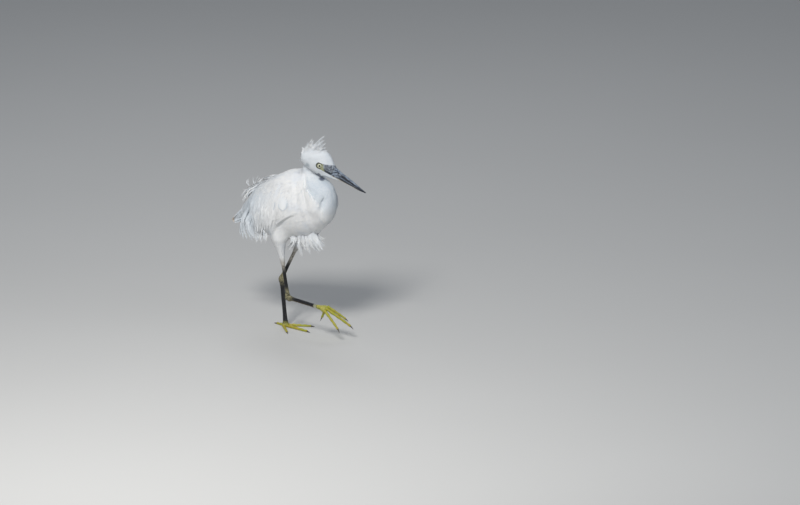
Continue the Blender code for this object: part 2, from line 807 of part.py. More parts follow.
def make_tail(rng):
    """Tail coverts as a short tapered block, and tail feathers stacked over one another."""
    start = TORSO[0, 0] - GAP / MM
    rows = np.array([(start - 30, 7, 1, -7), (start - 14, 12, 8, -13), (start, 15, 13, -18)], float)
    keys = np.linspace(rows[0, 0], rows[-1, 0], 6)
    tail = loft("tail", in_torso(egg_points(rows, keys, circle(14))), "plumage")
    blades = []
    for number in range(10):
        spread = (number - 4.5) / 4.5
        root = in_torso([(start - 8, spread * 7, 2 - 2.2 * abs(spread))])[0]
        ahead = unit((-0.74, spread * 0.17, -0.56 - 0.03 * abs(spread)))
        face = unit((-0.56, spread * 0.22, 0.80))
        blades.append(blade(root, ahead, (0, 0, -0.02), face, 43 - 4 * abs(spread), 12))
    fuse(tail, blades, "plumage")
    return tail


def build():
    """Makes every node of the bird."""
    clear_scene()
    rng = np.random.default_rng(RANDOM_SEED)
    make_head(rng)
    make_bill()
    make_neck()
    make_torso(rng)
    make_tail(rng)
    for side, label in ((-1, "right"), (1, "left")):
        make_wing(side, label, rng)
    for side in ("left", "right"):
        make_leg(side)
        knee, _, ankle, ball_point = leg_line(side)
        for toe in TOE_LENGTH:
            rings = tarsus_rings(side, unit(ankle - knee), ankle, ball_point, CLEAR)
            make_toe(side, toe, loft("knob_space", rings, "leg_scales"))


build()
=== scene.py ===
"""Looks of a little egret in mid stride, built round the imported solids.

One skin lies under a coat of solid feathers. Bill, eyes, lids, legs, toes and claws are separate.
Tables are in millimetres and meshes in metres: X is forward, Y the bird's left and Z up, and the
origin is on the floor under the standing foot.
"""

import math

import bpy
import numpy as np
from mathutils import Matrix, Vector

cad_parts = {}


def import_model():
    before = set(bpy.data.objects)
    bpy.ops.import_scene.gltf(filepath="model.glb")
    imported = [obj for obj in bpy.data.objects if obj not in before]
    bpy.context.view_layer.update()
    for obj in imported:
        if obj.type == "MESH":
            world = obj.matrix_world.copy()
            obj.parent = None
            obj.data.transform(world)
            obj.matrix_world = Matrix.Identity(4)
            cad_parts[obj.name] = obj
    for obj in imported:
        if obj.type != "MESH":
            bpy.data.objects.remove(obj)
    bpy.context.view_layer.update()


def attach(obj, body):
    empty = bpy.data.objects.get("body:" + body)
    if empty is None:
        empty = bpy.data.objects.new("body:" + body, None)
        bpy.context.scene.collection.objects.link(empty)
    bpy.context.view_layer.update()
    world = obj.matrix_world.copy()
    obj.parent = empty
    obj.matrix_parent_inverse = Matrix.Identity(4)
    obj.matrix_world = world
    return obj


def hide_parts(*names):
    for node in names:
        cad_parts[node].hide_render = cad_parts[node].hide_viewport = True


MM = 0.001
SEED = 11

# The body, as in the part's source.
MIDLINE = -6.0
TORSO_POINT = np.array((18.0, MIDLINE, 274.0))
TORSO_PITCH = math.radians(15)
EYES_POINT = np.array((113.6, -5.0, 382.4))
HEAD_TURN = math.radians(29)
HEAD_DIP = math.radians(29)
KNEE = {"left": (47.5, 18.0, 229.0), "right": (20.0, -40.0, 217.0)}
ANKLE = {"left": (-16.0, 5.0, 104.0), "right": (29.5, -22.0, 74.5)}
BALL = {"left": (0.0, 0.0, 0.0), "right": (129.4, -10.0, 65.5)}
SIDES = {"right": -1, "left": 1}
STANDING, LIFTED = "left", "right"

# Torso, head and tail along their axes: place, half width, top, bottom.
TORSO = np.array([
    (-130, 16, 15, -20), (-108, 29, 30, -34), (-76, 42, 49, -53), (-40, 49, 62, -66),
    (0, 52, 71, -71), (39, 51, 76, -71), (70, 43, 66, -65), (89, 29, 34, -46), (98, 9, -2, -22),
], float)
HEAD = np.array([
    (-46, 5, 3, -7), (-42, 11, 11, -14), (-32, 16.5, 20.5, -20.5), (-18, 18.5, 27, -24),
    (-4, 18, 29, -24.5), (8, 15.5, 26.5, -23), (18, 12, 21, -20.5), (26, 9.2, 14.6, -17.8),
    (32, 7.4, 11.4, -15.2),
], float)
CHIN = np.array([(14, 8, -9, -20), (32, 6.6, -8.8, -15), (44, 4.8, -9.4, -12.4), (53, 1.4, -10, -11)])
TAIL = np.array([(-166, 5, -9, -17), (-150, 11, -1, -19.5), (-130, 15, 12, -20)], float)
# Neck, upwards: height, half width, front, back.
NECK = np.array([
    (231, 5, 100, 84), (237, 14, 110, 77), (254, 27.5, 133, 70), (280, 33.5, 147, 66),
    (303, 34, 150.5, 66), (322, 32, 147, 66), (336, 29, 138.5, 65.5), (346, 24, 121.5, 65),
    (357, 19.5, 103, 64.5), (374, 16, 98, 69), (388, 9, 95, 78),
], float)
# Feathered leg from inside the flank, through the knee, to its end: share of the way, radius.
THIGH = np.array([
    (0, 9), (0.2, 13.5), (0.383, 16.6), (0.46, 16.8), (0.58, 13.0), (0.72, 8.8), (0.877, 5.6), (1, 4.2),
], float)
HIP_SHARE = 0.62
FEATHERED_SHARE = 0.47
# Shoulder feathers end in an edge over the side of the neck, by height and how far forward, and
# stand this far over the neck there.
MANTLE_EDGE = np.array([
    (262, 137), (286, 136), (306, 132), (322, 118), (338, 95), (352, 86), (368, 80), (374, 60),
])
MANTLE_STEP = 5.0
# The folded wing on the torso: place, upper and lower angle from the back in degrees, thickness.
WING_AREA = np.array([
    (-92, 40, 96, 0), (-84, 34, 106, 2), (-60, 15, 128, 6), (-39, 13, 136, 6.5), (-15, 13, 129, 6.5),
    (10, 13, 120, 6.5), (34, 24, 113, 4.5), (52, 34, 109, 2.2), (70, 40, 106, 0),
], float)
# Depth of the coat over the skin.
COAT = {"head": 1.3, "chin": 0.7, "neck": 2.2, "torso": 2.6, "tail": 1.5, "right": 1.6, "left": 1.6}
BODIES = tuple(COAT)
# Bodies flow into each other where their gaps differ by less than this.
JOIN = {"head": 6, "neck": 18, "tail": 12, "thigh": 18}
# The wing's soft ridges: how wide each is, and how much of the wing's thickness they add.
FURROW_WIDTH = 13.0
FURROW_SHARE = 0.17
# How far back torso feathers lean for each step down, by degrees from the middle of the back.
LEAN = ((0, 30, 48, 76, 95, 125, 150), (6, 2.2, 0.85, 0.5, 0.25, 0.8, 1.5))
# Shares of the way down the wing: its fine edge starts at the first, and other roots end at the second.
EDGE_FROM = 0.84
ROOTS_TO = 0.87
# Roots drawn by chance for each square of the wanted spacing, before a grid thins them out.
DRAWS_PER_SQUARE = 3.2
# Side of a feather's patch on the map OFBake.
PATCH = 0.003
# Cells that the skin is remeshed with, and how far under the plain body the bare face lies.
SKIN_GRAIN = 1.35
BARE_DEPTH = 0.15
# Eyeball, how far to the side its middle lies, its socket, and the lid's ring round it.
EYE_RADIUS = 6.2
EYE_SIDE = 12.0
SOCKET_RADIUS = 6.6
LID_RING = 5.85
LID_THICK = 1.05
LID_SIDE = 16.1


def profile(rows, keys):
    """Smooth curve through rows, whose first column is the key: cubic pieces with shared slopes."""
    known, values = rows[:, 0], rows[:, 1:]
    slopes = np.gradient(values, known, axis=0)
    piece = np.clip(np.searchsorted(known, keys, side="right") - 1, 0, len(known) - 2)
    span = (known[piece + 1] - known[piece])[:, None]
    t = (keys - known[piece])[:, None] / span
    start, end = values[piece], values[piece + 1]
    rise, fall = slopes[piece] * span, slopes[piece + 1] * span
    return (
        (2 * t**3 - 3 * t**2 + 1) * start
        + (t**3 - 2 * t**2 + t) * rise
        + (3 * t**2 - 2 * t**3) * end
        + (t**3 - t**2) * fall
    )


def unit(vectors):
    """Vectors at length one."""
    vectors = np.asarray(vectors, float)
    return vectors / np.maximum(np.linalg.norm(vectors, axis=-1, keepdims=True), 1e-9)


def ease(value, low, high):
    """Rises smoothly from 0 at low to 1 at high."""
    t = np.clip((value - low) / (high - low), 0, 1)
    return t * t * (3 - 2 * t)


def bell(value, width):
    """A bell curve: 1 at 0, and falling with the square of value in widths."""
    return np.exp(-((value / width) ** 2))


def axes(turn, dip):
    """Forward, left and up of a part that is turned left and dipped, as the rows of a matrix."""
    forward = (math.cos(dip) * math.cos(turn), math.cos(dip) * math.sin(turn), -math.sin(dip))
    left = (-math.sin(turn), math.cos(turn), 0)
    return np.array([forward, left, np.cross(forward, left)])


TORSO_AXES = axes(0, -TORSO_PITCH)
HEAD_AXES = axes(HEAD_TURN, HEAD_DIP)


def in_torso(points):
    """Points of the torso's own frame, in the bird's frame."""
    return TORSO_POINT + np.asarray(points, float) @ TORSO_AXES


def in_head(points):
    """Points of the head's own frame, in the bird's frame."""
    return EYES_POINT + np.asarray(points, float) @ HEAD_AXES


def of_torso(points):
    """Points of the bird's frame, in the torso's own frame."""
    return (points - TORSO_POINT) @ TORSO_AXES.T


def of_head(points):
    """Points of the bird's frame, in the head's own frame."""
    return (points - EYES_POINT) @ HEAD_AXES.T


def leg_line(side):
    """Knee, end of the feathers, ankle and ball of one leg."""
    knee, ankle, ball = (np.array(v[side], float) for v in (KNEE, ANKLE, BALL))
    return knee, knee + FEATHERED_SHARE * (ankle - knee), ankle, ball


def egg_section(local, rows):
    """Place on the axis, angle from the top, and distance outside the ellipse there.

    The distance runs along the line to the ellipse's middle: q (1 - 1 / rho), where rho is q in
    units of the ellipse's radius. Past an end of the axis it joins the distance beyond that end.
    """
    place = np.clip(local[:, 0], rows[0, 0], rows[-1, 0])
    width, top, bottom = profile(rows, place).T
    across, up = local[:, 1], local[:, 2] - (top + bottom) / 2
    half = (top - bottom) / 2
    rho = np.hypot(across / width, up / half) + 1e-6
    gap = np.hypot(across, up) * (1 - 1 / rho)
    beyond = np.abs(local[:, 0] - place)
    gap = np.where(beyond > 0, np.hypot(np.maximum(gap, 0), beyond), gap)
    return place, np.arctan2(across / width, up / half), gap


def wing_share(place, angle):
    """How far down the folded wing: 0 at its upper edge, 1 at its lower."""
    high, low = profile(WING_AREA, np.clip(place, WING_AREA[0, 0], WING_AREA[-1, 0])).T[:2]
    return (np.degrees(np.abs(angle)) - high) / (low - high)


def wing_thickness(place, angle):
    """The folded wing's thickness on the torso: a swell that starts softly and ends in a low edge."""
    rear, front = WING_AREA[0, 0], WING_AREA[-1, 0]
    thick = profile(WING_AREA, np.clip(place, rear, front))[:, 2]
    share = wing_share(place, angle)
    inside = ease(share, 0.0, 0.3) * (1 - ease(share, 0.93, 1.0))
    return np.maximum(thick, 0) * inside * ((place > rear) & (place < front))


def neck_gap(points):
    """Distance outside the neck: level ellipses with a crease on the right."""
    height = np.clip(points[:, 2], NECK[0, 0], NECK[-1, 0])
    width, front, back = profile(NECK, height).T
    ahead, across = points[:, 0] - (front + back) / 2, points[:, 1] - MIDLINE
    reach = (front - back) / 2
    rho = np.hypot(ahead / reach, across / width) + 1e-6
    angle = np.degrees(np.arctan2(across / width, ahead / reach))
    line = np.interp(height, (286, 316), (-49, -35))
    crease = bell(height - 300, 15) * (0.10 * bell(angle - line, 13) + 0.11 * bell(angle - line, 4.5))
    gap = np.hypot(ahead, across) * (1 - (1 - crease) / rho)
    beyond = np.abs(points[:, 2] - height)
    return np.where(beyond > 0, np.hypot(np.maximum(gap, 0), beyond), gap)


def behind_edge(points):
    """How far behind the shoulder feathers' edge points lie."""
    return np.interp(points[:, 2], MANTLE_EDGE[:, 0], MANTLE_EDGE[:, 1]) - points[:, 0]


def mantle_lift(points):
    """How far the shoulder feathers stand over the neck: a step at their edge that fades rearwards."""
    behind, height = behind_edge(points), points[:, 2]
    lift = ease(behind, -1.0, 2.5) * (1 - ease(behind, 10, 75))
    lift = lift * ease(height, 266, 290) * (1 - ease(height, 342, 362))
    return MANTLE_STEP * lift * ease(np.abs(points[:, 1] - MIDLINE), 8, 20)


def thigh_line(side):
    """Top of the feathered leg inside the flank, and its lower end."""
    knee, feathered, _, _ = leg_line(side)
    return knee - HIP_SHARE * (feathered - knee), feathered


def thigh_gap(points, side):
    """Distance outside a feathered leg: circles along its line."""
    hip, feathered = thigh_line(side)
    long = np.linalg.norm(feathered - hip)
    way = (feathered - hip) / long
    share = np.clip((points - hip) @ way / long, 0, 1)
    off = np.linalg.norm(points - hip - (share * long)[:, None] * way, axis=1)
    return off - profile(THIGH, share)[:, 0]


def furrows(points):
    """Long soft ridges of the wing's feathers, from 0 to 1: each rises forwards and drops at its edge."""
    across = points[:, 0] + 0.10 * (points[:, 2] - 240) + 3.5 * wander(points, 60, 21)
    phase = (across / FURROW_WIDTH) % 1.0
    low = 1 - ease(points[:, 2], 272, 304)
    return phase * (1 - ease(phase, 0.80, 1.0)) * (0.25 + 0.75 * low)


def gaps(points):
    """How far points lie outside each body: one row a body."""
    head, torso = of_head(points), of_torso(points)
    place, angle, torso_gap = egg_section(torso, TORSO)
    return np.stack([
        egg_section(head, HEAD)[2],
        egg_section(head, CHIN)[2],
        neck_gap(points),
        torso_gap - wing_thickness(place, angle) * (1 + FURROW_SHARE * furrows(points)),
        egg_section(torso, TAIL)[2],
        thigh_gap(points, "right"),
        thigh_gap(points, "left"),
    ])


def merged(first, second, reach):
    """The lesser of two gaps, m - n^2 r / 4, where n falls from 1 to 0 as they differ by up to r."""
    near = np.maximum(reach - np.abs(first - second), 0) / reach
    return np.minimum(first, second) - near * near * reach / 4


def height_over(points):
    """Height over the whole body, smoothly joined, with the shoulder feathers' edge over the neck."""
    head, chin, neck, torso, tail, right, left = gaps(points)
    trunk = merged(neck, torso, JOIN["neck"]) - mantle_lift(points)
    for limb_gap, joint in ((tail, "tail"), (right, "thigh"), (left, "thigh")):
        trunk = merged(trunk, limb_gap, JOIN[joint])
    return merged(merged(head, chin, JOIN["head"]), trunk, JOIN["head"])


def weights(points, blend=5.0):
    """How much each body has a say at each point, from 0 to 1, adding up to 1."""
    apart = gaps(points)
    share = np.exp(-(apart - apart.min(0)) / blend)
    return share / share.sum(0)


def coat_depth(points):
    """How far the coat reaches over the skin at each point."""
    return np.array(list(COAT.values())) @ weights(points)


def outward(points, step=0.4):
    """Height over the body and its slope, which leads away from the body, by differences."""
    base = height_over(points)
    slope = np.stack([height_over(points + step * way) - base for way in np.eye(3)], -1) / step
    return base, slope


def settle(points, goal, hold=1.0, turns=2):
    """Moves points along the way out of the body to their goal height, from above by hold's share.

    With them comes the way out of the body at each.
    """
    shape = points.shape
    points, goal = points.reshape(-1, 3), np.broadcast_to(goal, shape[:-1]).reshape(-1)
    for _ in range(turns):
        now, slope = outward(points)
        short = goal - now
        short = np.where(short < 0, short * hold, short)
        steep = np.maximum((slope**2).sum(-1), 0.25)
        points = points + np.clip(short / steep, -9, 9)[:, None] * slope
    return points.reshape(shape), unit(slope).reshape(shape)


def bare_face(points):
    """1 on the bare skin between eye and bill and round the eye, 0 on feathers."""
    place, across, up = of_head(points).T
    low = -7.0 - 0.06 * (place - 8)
    high = np.where(place < 26, 5 + 0.30 * (place + 2), 99)
    wedge = ease(place, 0, 3) * ease(up - low, -0.8, 0.8) * ease(high - up, -0.8, 0.8)
    ring = 1 - ease(np.hypot(place, up), 6.2, 7.2)
    return np.maximum(wedge, ring * (np.abs(across) > 9))


def wander(points, scale, seed):
    """Smooth noise from -1 to 1: a few sine waves that cross in seeded directions."""
    rng = np.random.default_rng(seed)
    way = unit(rng.normal(size=(5, 3))) / scale * rng.uniform(0.7, 1.6, (5, 1))
    return np.sin(points @ way.T * 2 * math.pi + rng.uniform(0, 6.3, 5)).sum(-1) / 3


def shade_of(points):
    """Painted shade on the white, cool and dim, 0 to 1: before the shoulder feathers' edge, down the wing,
    and towards the rear.
    """
    behind, height = behind_edge(points), points[:, 2]
    neck = ease(-behind, -1.5, 2.0) * ease(height, 270, 312) * (1 - 0.45 * ease(height, 345, 365))
    place, angle, _ = egg_section(of_torso(points), TORSO)
    wing = ease(wing_thickness(place, angle), 0.5, 4) * ease(-place, -25, 70)
    rear = ease(-place, 60, 100)
    return np.clip(0.9 * neck + 0.8 * np.maximum(wing, rear), 0, 1)


def set_values(mesh, **values):
    """Keeps one number a point under each name."""
    for name, numbers in values.items():
        kept = mesh.attributes.new(name, "FLOAT", "POINT")
        kept.data.foreach_set("value", np.asarray(numbers, np.float32))


def put_mesh(name, points, faces, finish, maps=(), values=None, normals=None):
    """A mesh object from arrays: points in millimetres, faces of one size, finish, maps, and normals."""
    mesh = bpy.data.meshes.new(name)
    corners = faces.shape[1]
    mesh.vertices.add(len(points))
    mesh.vertices.foreach_set("co", (points * MM).astype(np.float32).ravel())
    mesh.loops.add(faces.size)
    mesh.loops.foreach_set("vertex_index", faces.astype(np.int32).ravel())
    mesh.polygons.add(len(faces))
    mesh.polygons.foreach_set("loop_start", np.arange(0, faces.size, corners, dtype=np.int32))
    for label, coords in maps:
        layer = mesh.uv_layers.new(name=label)
        layer.data.foreach_set("uv", coords[faces.ravel()].astype(np.float32).ravel())
    set_values(mesh, **(values or {}))
    mesh.update(calc_edges=True)
    mesh.polygons.foreach_set("use_smooth", np.ones(len(faces), bool))
    if normals is not None:
        mesh.normals_split_custom_set(normals)
    mesh.materials.append(finish)
    piece = bpy.data.objects.new(name, mesh)
    bpy.context.scene.collection.objects.link(piece)
    return piece


def grid_faces(rows, size, wrap=True):
    """Quads between rows of size points, closed round each row if wrap."""
    here = np.arange(size if wrap else size - 1)
    after = (here + 1) % size
    start = (np.arange(rows - 1) * size)[:, None]
    quads = np.stack([start + here, start + after, start + size + after, start + size + here], -1)
    return quads.reshape(-1, 4)


def tube_mesh(name, rings, finish, flip=False):
    """A closed surface through rings of points: quads along it, and a fan to a pole at each end.

    Its UV map runs round each ring and along the rings.
    """
    rows, size = rings.shape[:2]
    poles = np.stack([rings[0].mean(0), rings[-1].mean(0)])
    points = np.concatenate([rings.reshape(-1, 3), poles])
    quads = grid_faces(rows, size)
    here = np.arange(size)
    after = (here + 1) % size
    first, last = rows * size, rows * size + 1
    fans = np.concatenate([
        np.stack([after, here, np.full(size, first)], -1),
        np.stack([here, after, np.full(size, last)], -1) + np.array([(rows - 1) * size] * 2 + [0]),
    ])
    triangles = np.concatenate([quads[:, [0, 1, 2]], quads[:, [0, 2, 3]], fans])
    if flip:
        triangles = triangles[:, ::-1]
    around = np.tile(np.arange(size) / size, rows)
    along = np.repeat(np.linspace(0, 1, rows), size)
    coords = np.stack([np.append(around, (0.5, 0.5)), np.append(along, (0, 1))], -1)
    return put_mesh(name, points, triangles, finish, maps=[("around", coords)])


def tube_rings(path, widths, depths, facing, angles):
    """Ellipses square to a path: widths lie across both the path and facing, depths along facing."""
    ahead = unit(np.gradient(path, axis=0))
    across = unit(np.cross(ahead, facing))
    out = np.cross(across, ahead)
    return (
        path[:, None]
        + across[:, None] * (widths[..., None] * np.sin(angles)[:, None])
        + out[:, None] * (depths[..., None] * np.cos(angles)[:, None])
    )


def circle(count):
    """Angles round a section, from its top over its left."""
    return np.arange(count) * 2 * math.pi / count


def egg_rings(rows, keys, angles):
    """Ellipses across an axis, reaching the profile's upper and lower heights and its half width."""
    width, top, bottom = profile(rows, keys).T
    middle, half = (top + bottom) / 2, (top - bottom) / 2
    return np.stack([
        keys[:, None] + 0 * angles,
        width[:, None] * np.sin(angles),
        middle[:, None] + half[:, None] * np.cos(angles),
    ], -1)


def skin_loops(finish):
    """Rings of the plain bodies that the skin is joined from, their finish, and if they are flipped."""
    angles = circle(48)
    for rows, place in ((TORSO, in_torso), (HEAD, in_head), (CHIN, in_head), (TAIL, in_torso)):
        yield place(egg_rings(rows, np.linspace(rows[0, 0], rows[-1, 0], 80), angles)), finish, False
    heights = np.linspace(NECK[0, 0], NECK[-1, 0], 80)
    width, front, back = profile(NECK, heights).T
    yield np.stack([
        ((front + back) / 2)[:, None] + ((front - back) / 2)[:, None] * np.cos(angles),
        MIDLINE + width[:, None] * np.sin(angles),
        heights[:, None] + 0 * angles,
    ], -1), finish, True
    for side in SIDES:
        hip, feathered = thigh_line(side)
        share = np.linspace(0, 1, 50)
        radius = profile(THIGH, share)
        path = hip + share[:, None] * (feathered - hip)
        yield tube_rings(path, radius, radius, np.array((1.0, 0, 0)), angles), finish, False


def mesh_arrays(piece):
    """Points in millimetres and triangles of a piece."""
    mesh = piece.data
    mesh.calc_loop_triangles()
    points = np.empty(len(mesh.vertices) * 3, np.float32)
    mesh.vertices.foreach_get("co", points)
    faces = np.empty(len(mesh.loop_triangles) * 3, np.int32)
    mesh.loop_triangles.foreach_get("vertices", faces)
    return points.reshape(-1, 3).astype(float) / MM, faces.reshape(-1, 3)


def make_skin(finish):
    """One closed skin: the bodies joined, remeshed, and drawn in under the coat.

    Each point moves along the way out of the body until its height is minus the coat's depth. Eye
    sockets are pressed in as balls round the eyes.
    """
    loops = [tube_mesh(f"body_{n}", *loop) for n, loop in enumerate(skin_loops(finish))]
    with bpy.context.temp_override(
        active_object=loops[0], selected_editable_objects=loops, selected_objects=loops
    ):
        bpy.ops.object.join()
    skin = loops[0]
    skin.name = skin.data.name = "skin"
    remesh = skin.modifiers.new("one_surface", "REMESH")
    remesh.mode, remesh.voxel_size = "VOXEL", SKIN_GRAIN * MM
    graph = bpy.context.evaluated_depsgraph_get()
    made = bpy.data.meshes.new_from_object(skin.evaluated_get(graph))
    skin.modifiers.clear()
    skin.data = made
    points, _ = mesh_arrays(skin)
    bare = bare_face(points)
    points, _ = settle(points, -(coat_depth(points) * (1 - bare) + BARE_DEPTH * bare), turns=4)
    for sign in SIDES.values():
        sunk = np.linalg.norm(points - in_head((0, sign * EYE_SIDE, 0)), axis=1) < SOCKET_RADIUS
        inward = in_head((0, sign * (EYE_SIDE - 3), 0)) - points
        points = np.where(sunk[:, None], points + inward * 0.75, points)
    made.vertices.foreach_set("co", (points * MM).astype(np.float32).ravel())
    made.update()
    made.polygons.foreach_set("use_smooth", np.ones(len(made.polygons), bool))
    # The skin carries the same painted shade as the coat.
    set_values(made, shade=shade_of(points))
    made.materials.clear()
    made.materials.append(finish)
    return skin


def scatter(points, faces, spacing, rng, wanted):
    """Roots about spacing apart on the triangles that are wanted.

    Triangles are drawn by their area and a point inside each by chance; of the points that fall in
    one cell of a grid of that spacing, the first stays.
    """
    chosen = faces[wanted]
    a, b, c = points[chosen[:, 0]], points[chosen[:, 1]], points[chosen[:, 2]]
    area = np.linalg.norm(np.cross(b - a, c - a), axis=1) / 2
    count = int(area.sum() / spacing**2 * DRAWS_PER_SQUARE)
    picks = rng.choice(len(chosen), count, p=area / area.sum())
    u, v = rng.uniform(size=(2, count, 1))
    over = u + v > 1
    u, v = np.where(over, 1 - u, u), np.where(over, 1 - v, v)
    roots = a[picks] + u * (b - a)[picks] + v * (c - a)[picks]
    cells = np.floor(roots / spacing + rng.uniform(size=3)).astype(int)
    _, kept = np.unique(cells, axis=0, return_index=True)
    return roots[np.sort(kept)]


def lie_of(points, slope):
    """The way feathers point at each root: a blend of each body's own, laid flat on the body.

    On the torso they run back and down by LEAN, and along the wing's lower edge at its front. On the
    neck they run down, and forward near the shoulder feathers' edge.
    """
    share = weights(points)
    torso, head = of_torso(points), of_head(points)
    place, angle, _ = egg_section(torso, TORSO)
    turn = np.degrees(np.abs(angle))
    side = np.sign(torso[:, 1])
    zero = 0 * place
    back = np.interp(turn, *LEAN) + 0.25 * ease(-place, 20, 90) * (turn < 60)
    low = wing_share(place, angle)
    back = back + 0.9 * ease(low, 0.45, 0.9) * ease(1.15 - low, 0, 0.1) * ease(place, -30, 10)
    on_torso = unit(np.stack([-back, 0.05 * side, zero - 1], -1))
    edge = behind_edge(points)
    mantle = ease(edge, -2, 4) * ease(points[:, 2], 275, 300)
    forward = 1.1 * np.clip(1 - edge / 30, 0, 1) * mantle
    forward = forward + 1.1 * np.clip(1 + edge / 22, 0, 1) * (1 - mantle) * (edge < 4)
    on_neck = unit(np.stack([-0.22 + forward, 0.15 * side * (1 - mantle), zero - 1], -1))
    on_head = np.stack([zero - 1, 0.02 * head[:, 1], -0.22 * ease(12 - head[:, 2], 0, 16)], -1) @ HEAD_AXES
    on_tail = unit(np.stack([zero - 0.86, zero, zero - 0.5], -1))
    lines = (leg_line(label) for label in SIDES)
    legs = [np.broadcast_to(unit(line[1] - line[0]), points.shape) for line in lines]
    ways = np.stack([on_head, on_head, on_neck, on_torso, on_tail, *legs])
    lie = (share[..., None] * ways).sum(0)
    lie = lie - (lie * slope).sum(-1, keepdims=True) * slope
    turn = 0.13 * wander(points, 46, 3) + 0.05 * wander(points, 15, 5)
    return unit(unit(lie) + np.cross(slope, unit(lie)) * turn[:, None])


def vane_faces(rows):
    """Triangles of a closed vane whose rings are left edge, ridge and right edge, with a tip.

    With them comes the side of each: 1 for the upper, -1 for the under side.
    """
    faces, sides = [(0, 2, 1)], [1]
    for row in range(rows):
        low, high = 3 * row, 3 * row + 3
        for a, b, side in ((0, 1, 1), (1, 2, 1), (2, 0, -1)):
            if row < rows - 1:
                faces += [(low + a, low + b, high + b), (low + a, high + b, high + a)]
                sides += [side, side]
            else:
                faces.append((low + a, low + b, high))
                sides.append(side)
    return np.array(faces), np.array(sides)


def vanes(lines, out, width, thick, outline, tint, round_by=0.16, mass=None):
    """Closed vanes along their lines.

    At each point of a line the ring is line - side * w, line + out * t and line + side * w, with
    side square to the line and to out, w from the outline and t falling towards the tip. They are
    shaded softly: normals lie near out where the vane does, and turn by round_by to its sides. Loose
    ones lean towards mass, the way out of the body, so that a tuft is shaded as one.
    """
    share = np.linspace(0, 1, lines.shape[1])[:-1]
    along = unit(np.gradient(lines, axis=1))
    side = unit(np.cross(along, out))
    above = np.cross(side, along)
    half = width[:, None] / 2 * outline
    deep = thick * (1 - 0.6 * share)
    body = lines[:, :-1]
    edge = side[:, :-1] * half[..., None]
    ridge = above[:, :-1] * deep[:, None]
    rings = np.stack([body - edge, body + ridge, body + edge], 2)
    count, rows = rings.shape[:2]
    points = np.concatenate([rings.reshape(count, -1, 3), lines[:, -1:]], 1)
    local = np.stack([np.tile((0, 0.5, 1.0), rows), np.repeat(share, 3)], -1)
    local = np.concatenate([local, [(0.5, 1.0)]])
    agree = ease((out * above).sum(-1, keepdims=True), 0.75, 0.97)
    facing = unit(0.7 * agree * out + (1 - 0.7 * agree) * above)
    turned = [facing - round_by * side, facing, facing + round_by * side]
    normals = unit(np.stack(turned, 2)[:, :-1]).reshape(count, -1, 3)
    normals = np.concatenate([normals, facing[:, -1:]], 1)
    faces, sides = vane_faces(rows)
    normals = normals[:, faces] * sides[:, None, None]
    if mass is not None:
        lean = np.concatenate([np.repeat(mass[:, :-1], 3, axis=1), mass[:, -1:]], 1)
        normals = unit(0.65 * normals + lean[:, faces])
    return {
        "points": points, "faces": faces, "local": local, "roots": lines[:, 0],
        "tint": np.broadcast_to(tint, count), "normals": normals,
    }


def chart(points, body):
    """Unwraps a body: along its axis across the map, and round it up the map."""
    if body == "head":
        place, angle, _ = egg_section(of_head(points), HEAD)
        along = (place - HEAD[0, 0]) / (HEAD[-1, 0] - HEAD[0, 0])
    elif body == "neck":
        _, front, back = profile(NECK, np.clip(points[:, 2], NECK[0, 0], NECK[-1, 0])).T
        angle = np.arctan2(points[:, 1] - MIDLINE, points[:, 0] - (front + back) / 2)
        along = (points[:, 2] - NECK[0, 0]) / (NECK[-1, 0] - NECK[0, 0])
    elif body in SIDES:
        hip, feathered = thigh_line(body)
        way = feathered - hip
        along = (points - hip) @ way / (way @ way)
        angle = np.arctan2(points[:, 1] - hip[1], points[:, 0] - hip[0])
    else:
        local = of_torso(points)
        _, angle, _ = egg_section(local, TORSO)
        along = (local[:, 0] - TAIL[0, 0]) / (TORSO[-1, 0] - TAIL[0, 0])
    return np.stack([0.02 + 0.96 * np.clip(along, 0, 1), 0.5 + 0.48 * angle / math.pi], -1)


def coat_piece(name, groups, body, finish):
    """Joins groups of vanes into one piece. Each vane is a small patch of the map OFBake."""
    rows, start = [], 0
    for group in groups:
        count, size = group["points"].shape[:2]
        spot = chart(group["roots"], body)[:, None] + PATCH * (group["local"] - 0.5)
        # Painted shade of each vane: its group's own, or that at its root.
        shade = group.get("shade", shade_of(group["roots"]))
        rows.append((
            group["points"].reshape(-1, 3),
            (group["faces"] + start + size * np.arange(count)[:, None, None]).reshape(-1, 3),
            spot.reshape(-1, 2),
            np.tile(group["local"], (count, 1)),
            np.repeat(group["tint"], size),
            np.repeat(shade, size),
            group["normals"].reshape(-1, 3),
        ))
        start += count * size
    points, faces, baked, local, tints, shades, normals = map(np.concatenate, zip(*rows))
    maps, values = [("OFBake", baked), ("vane", local)], {"tint": tints, "shade": shades}
    return put_mesh(name, points, faces, finish, maps, values, normals)


# Outlines of a vane from its root to just before its tip: shares of its full half width.
ROUND = np.array([0.35, 0.80, 1.0, 0.98, 0.74])
SLIM = np.array([0.45, 0.95, 1.0, 0.72, 0.40])
PADDLE = np.array([0.5, 0.75, 0.9, 0.97, 1.0, 1.0, 1.0, 0.97, 0.87, 0.66])
SHORT = np.array([0.5, 1.0, 0.85, 0.45])
HAIR = np.array([0.9, 1.0, 0.6])


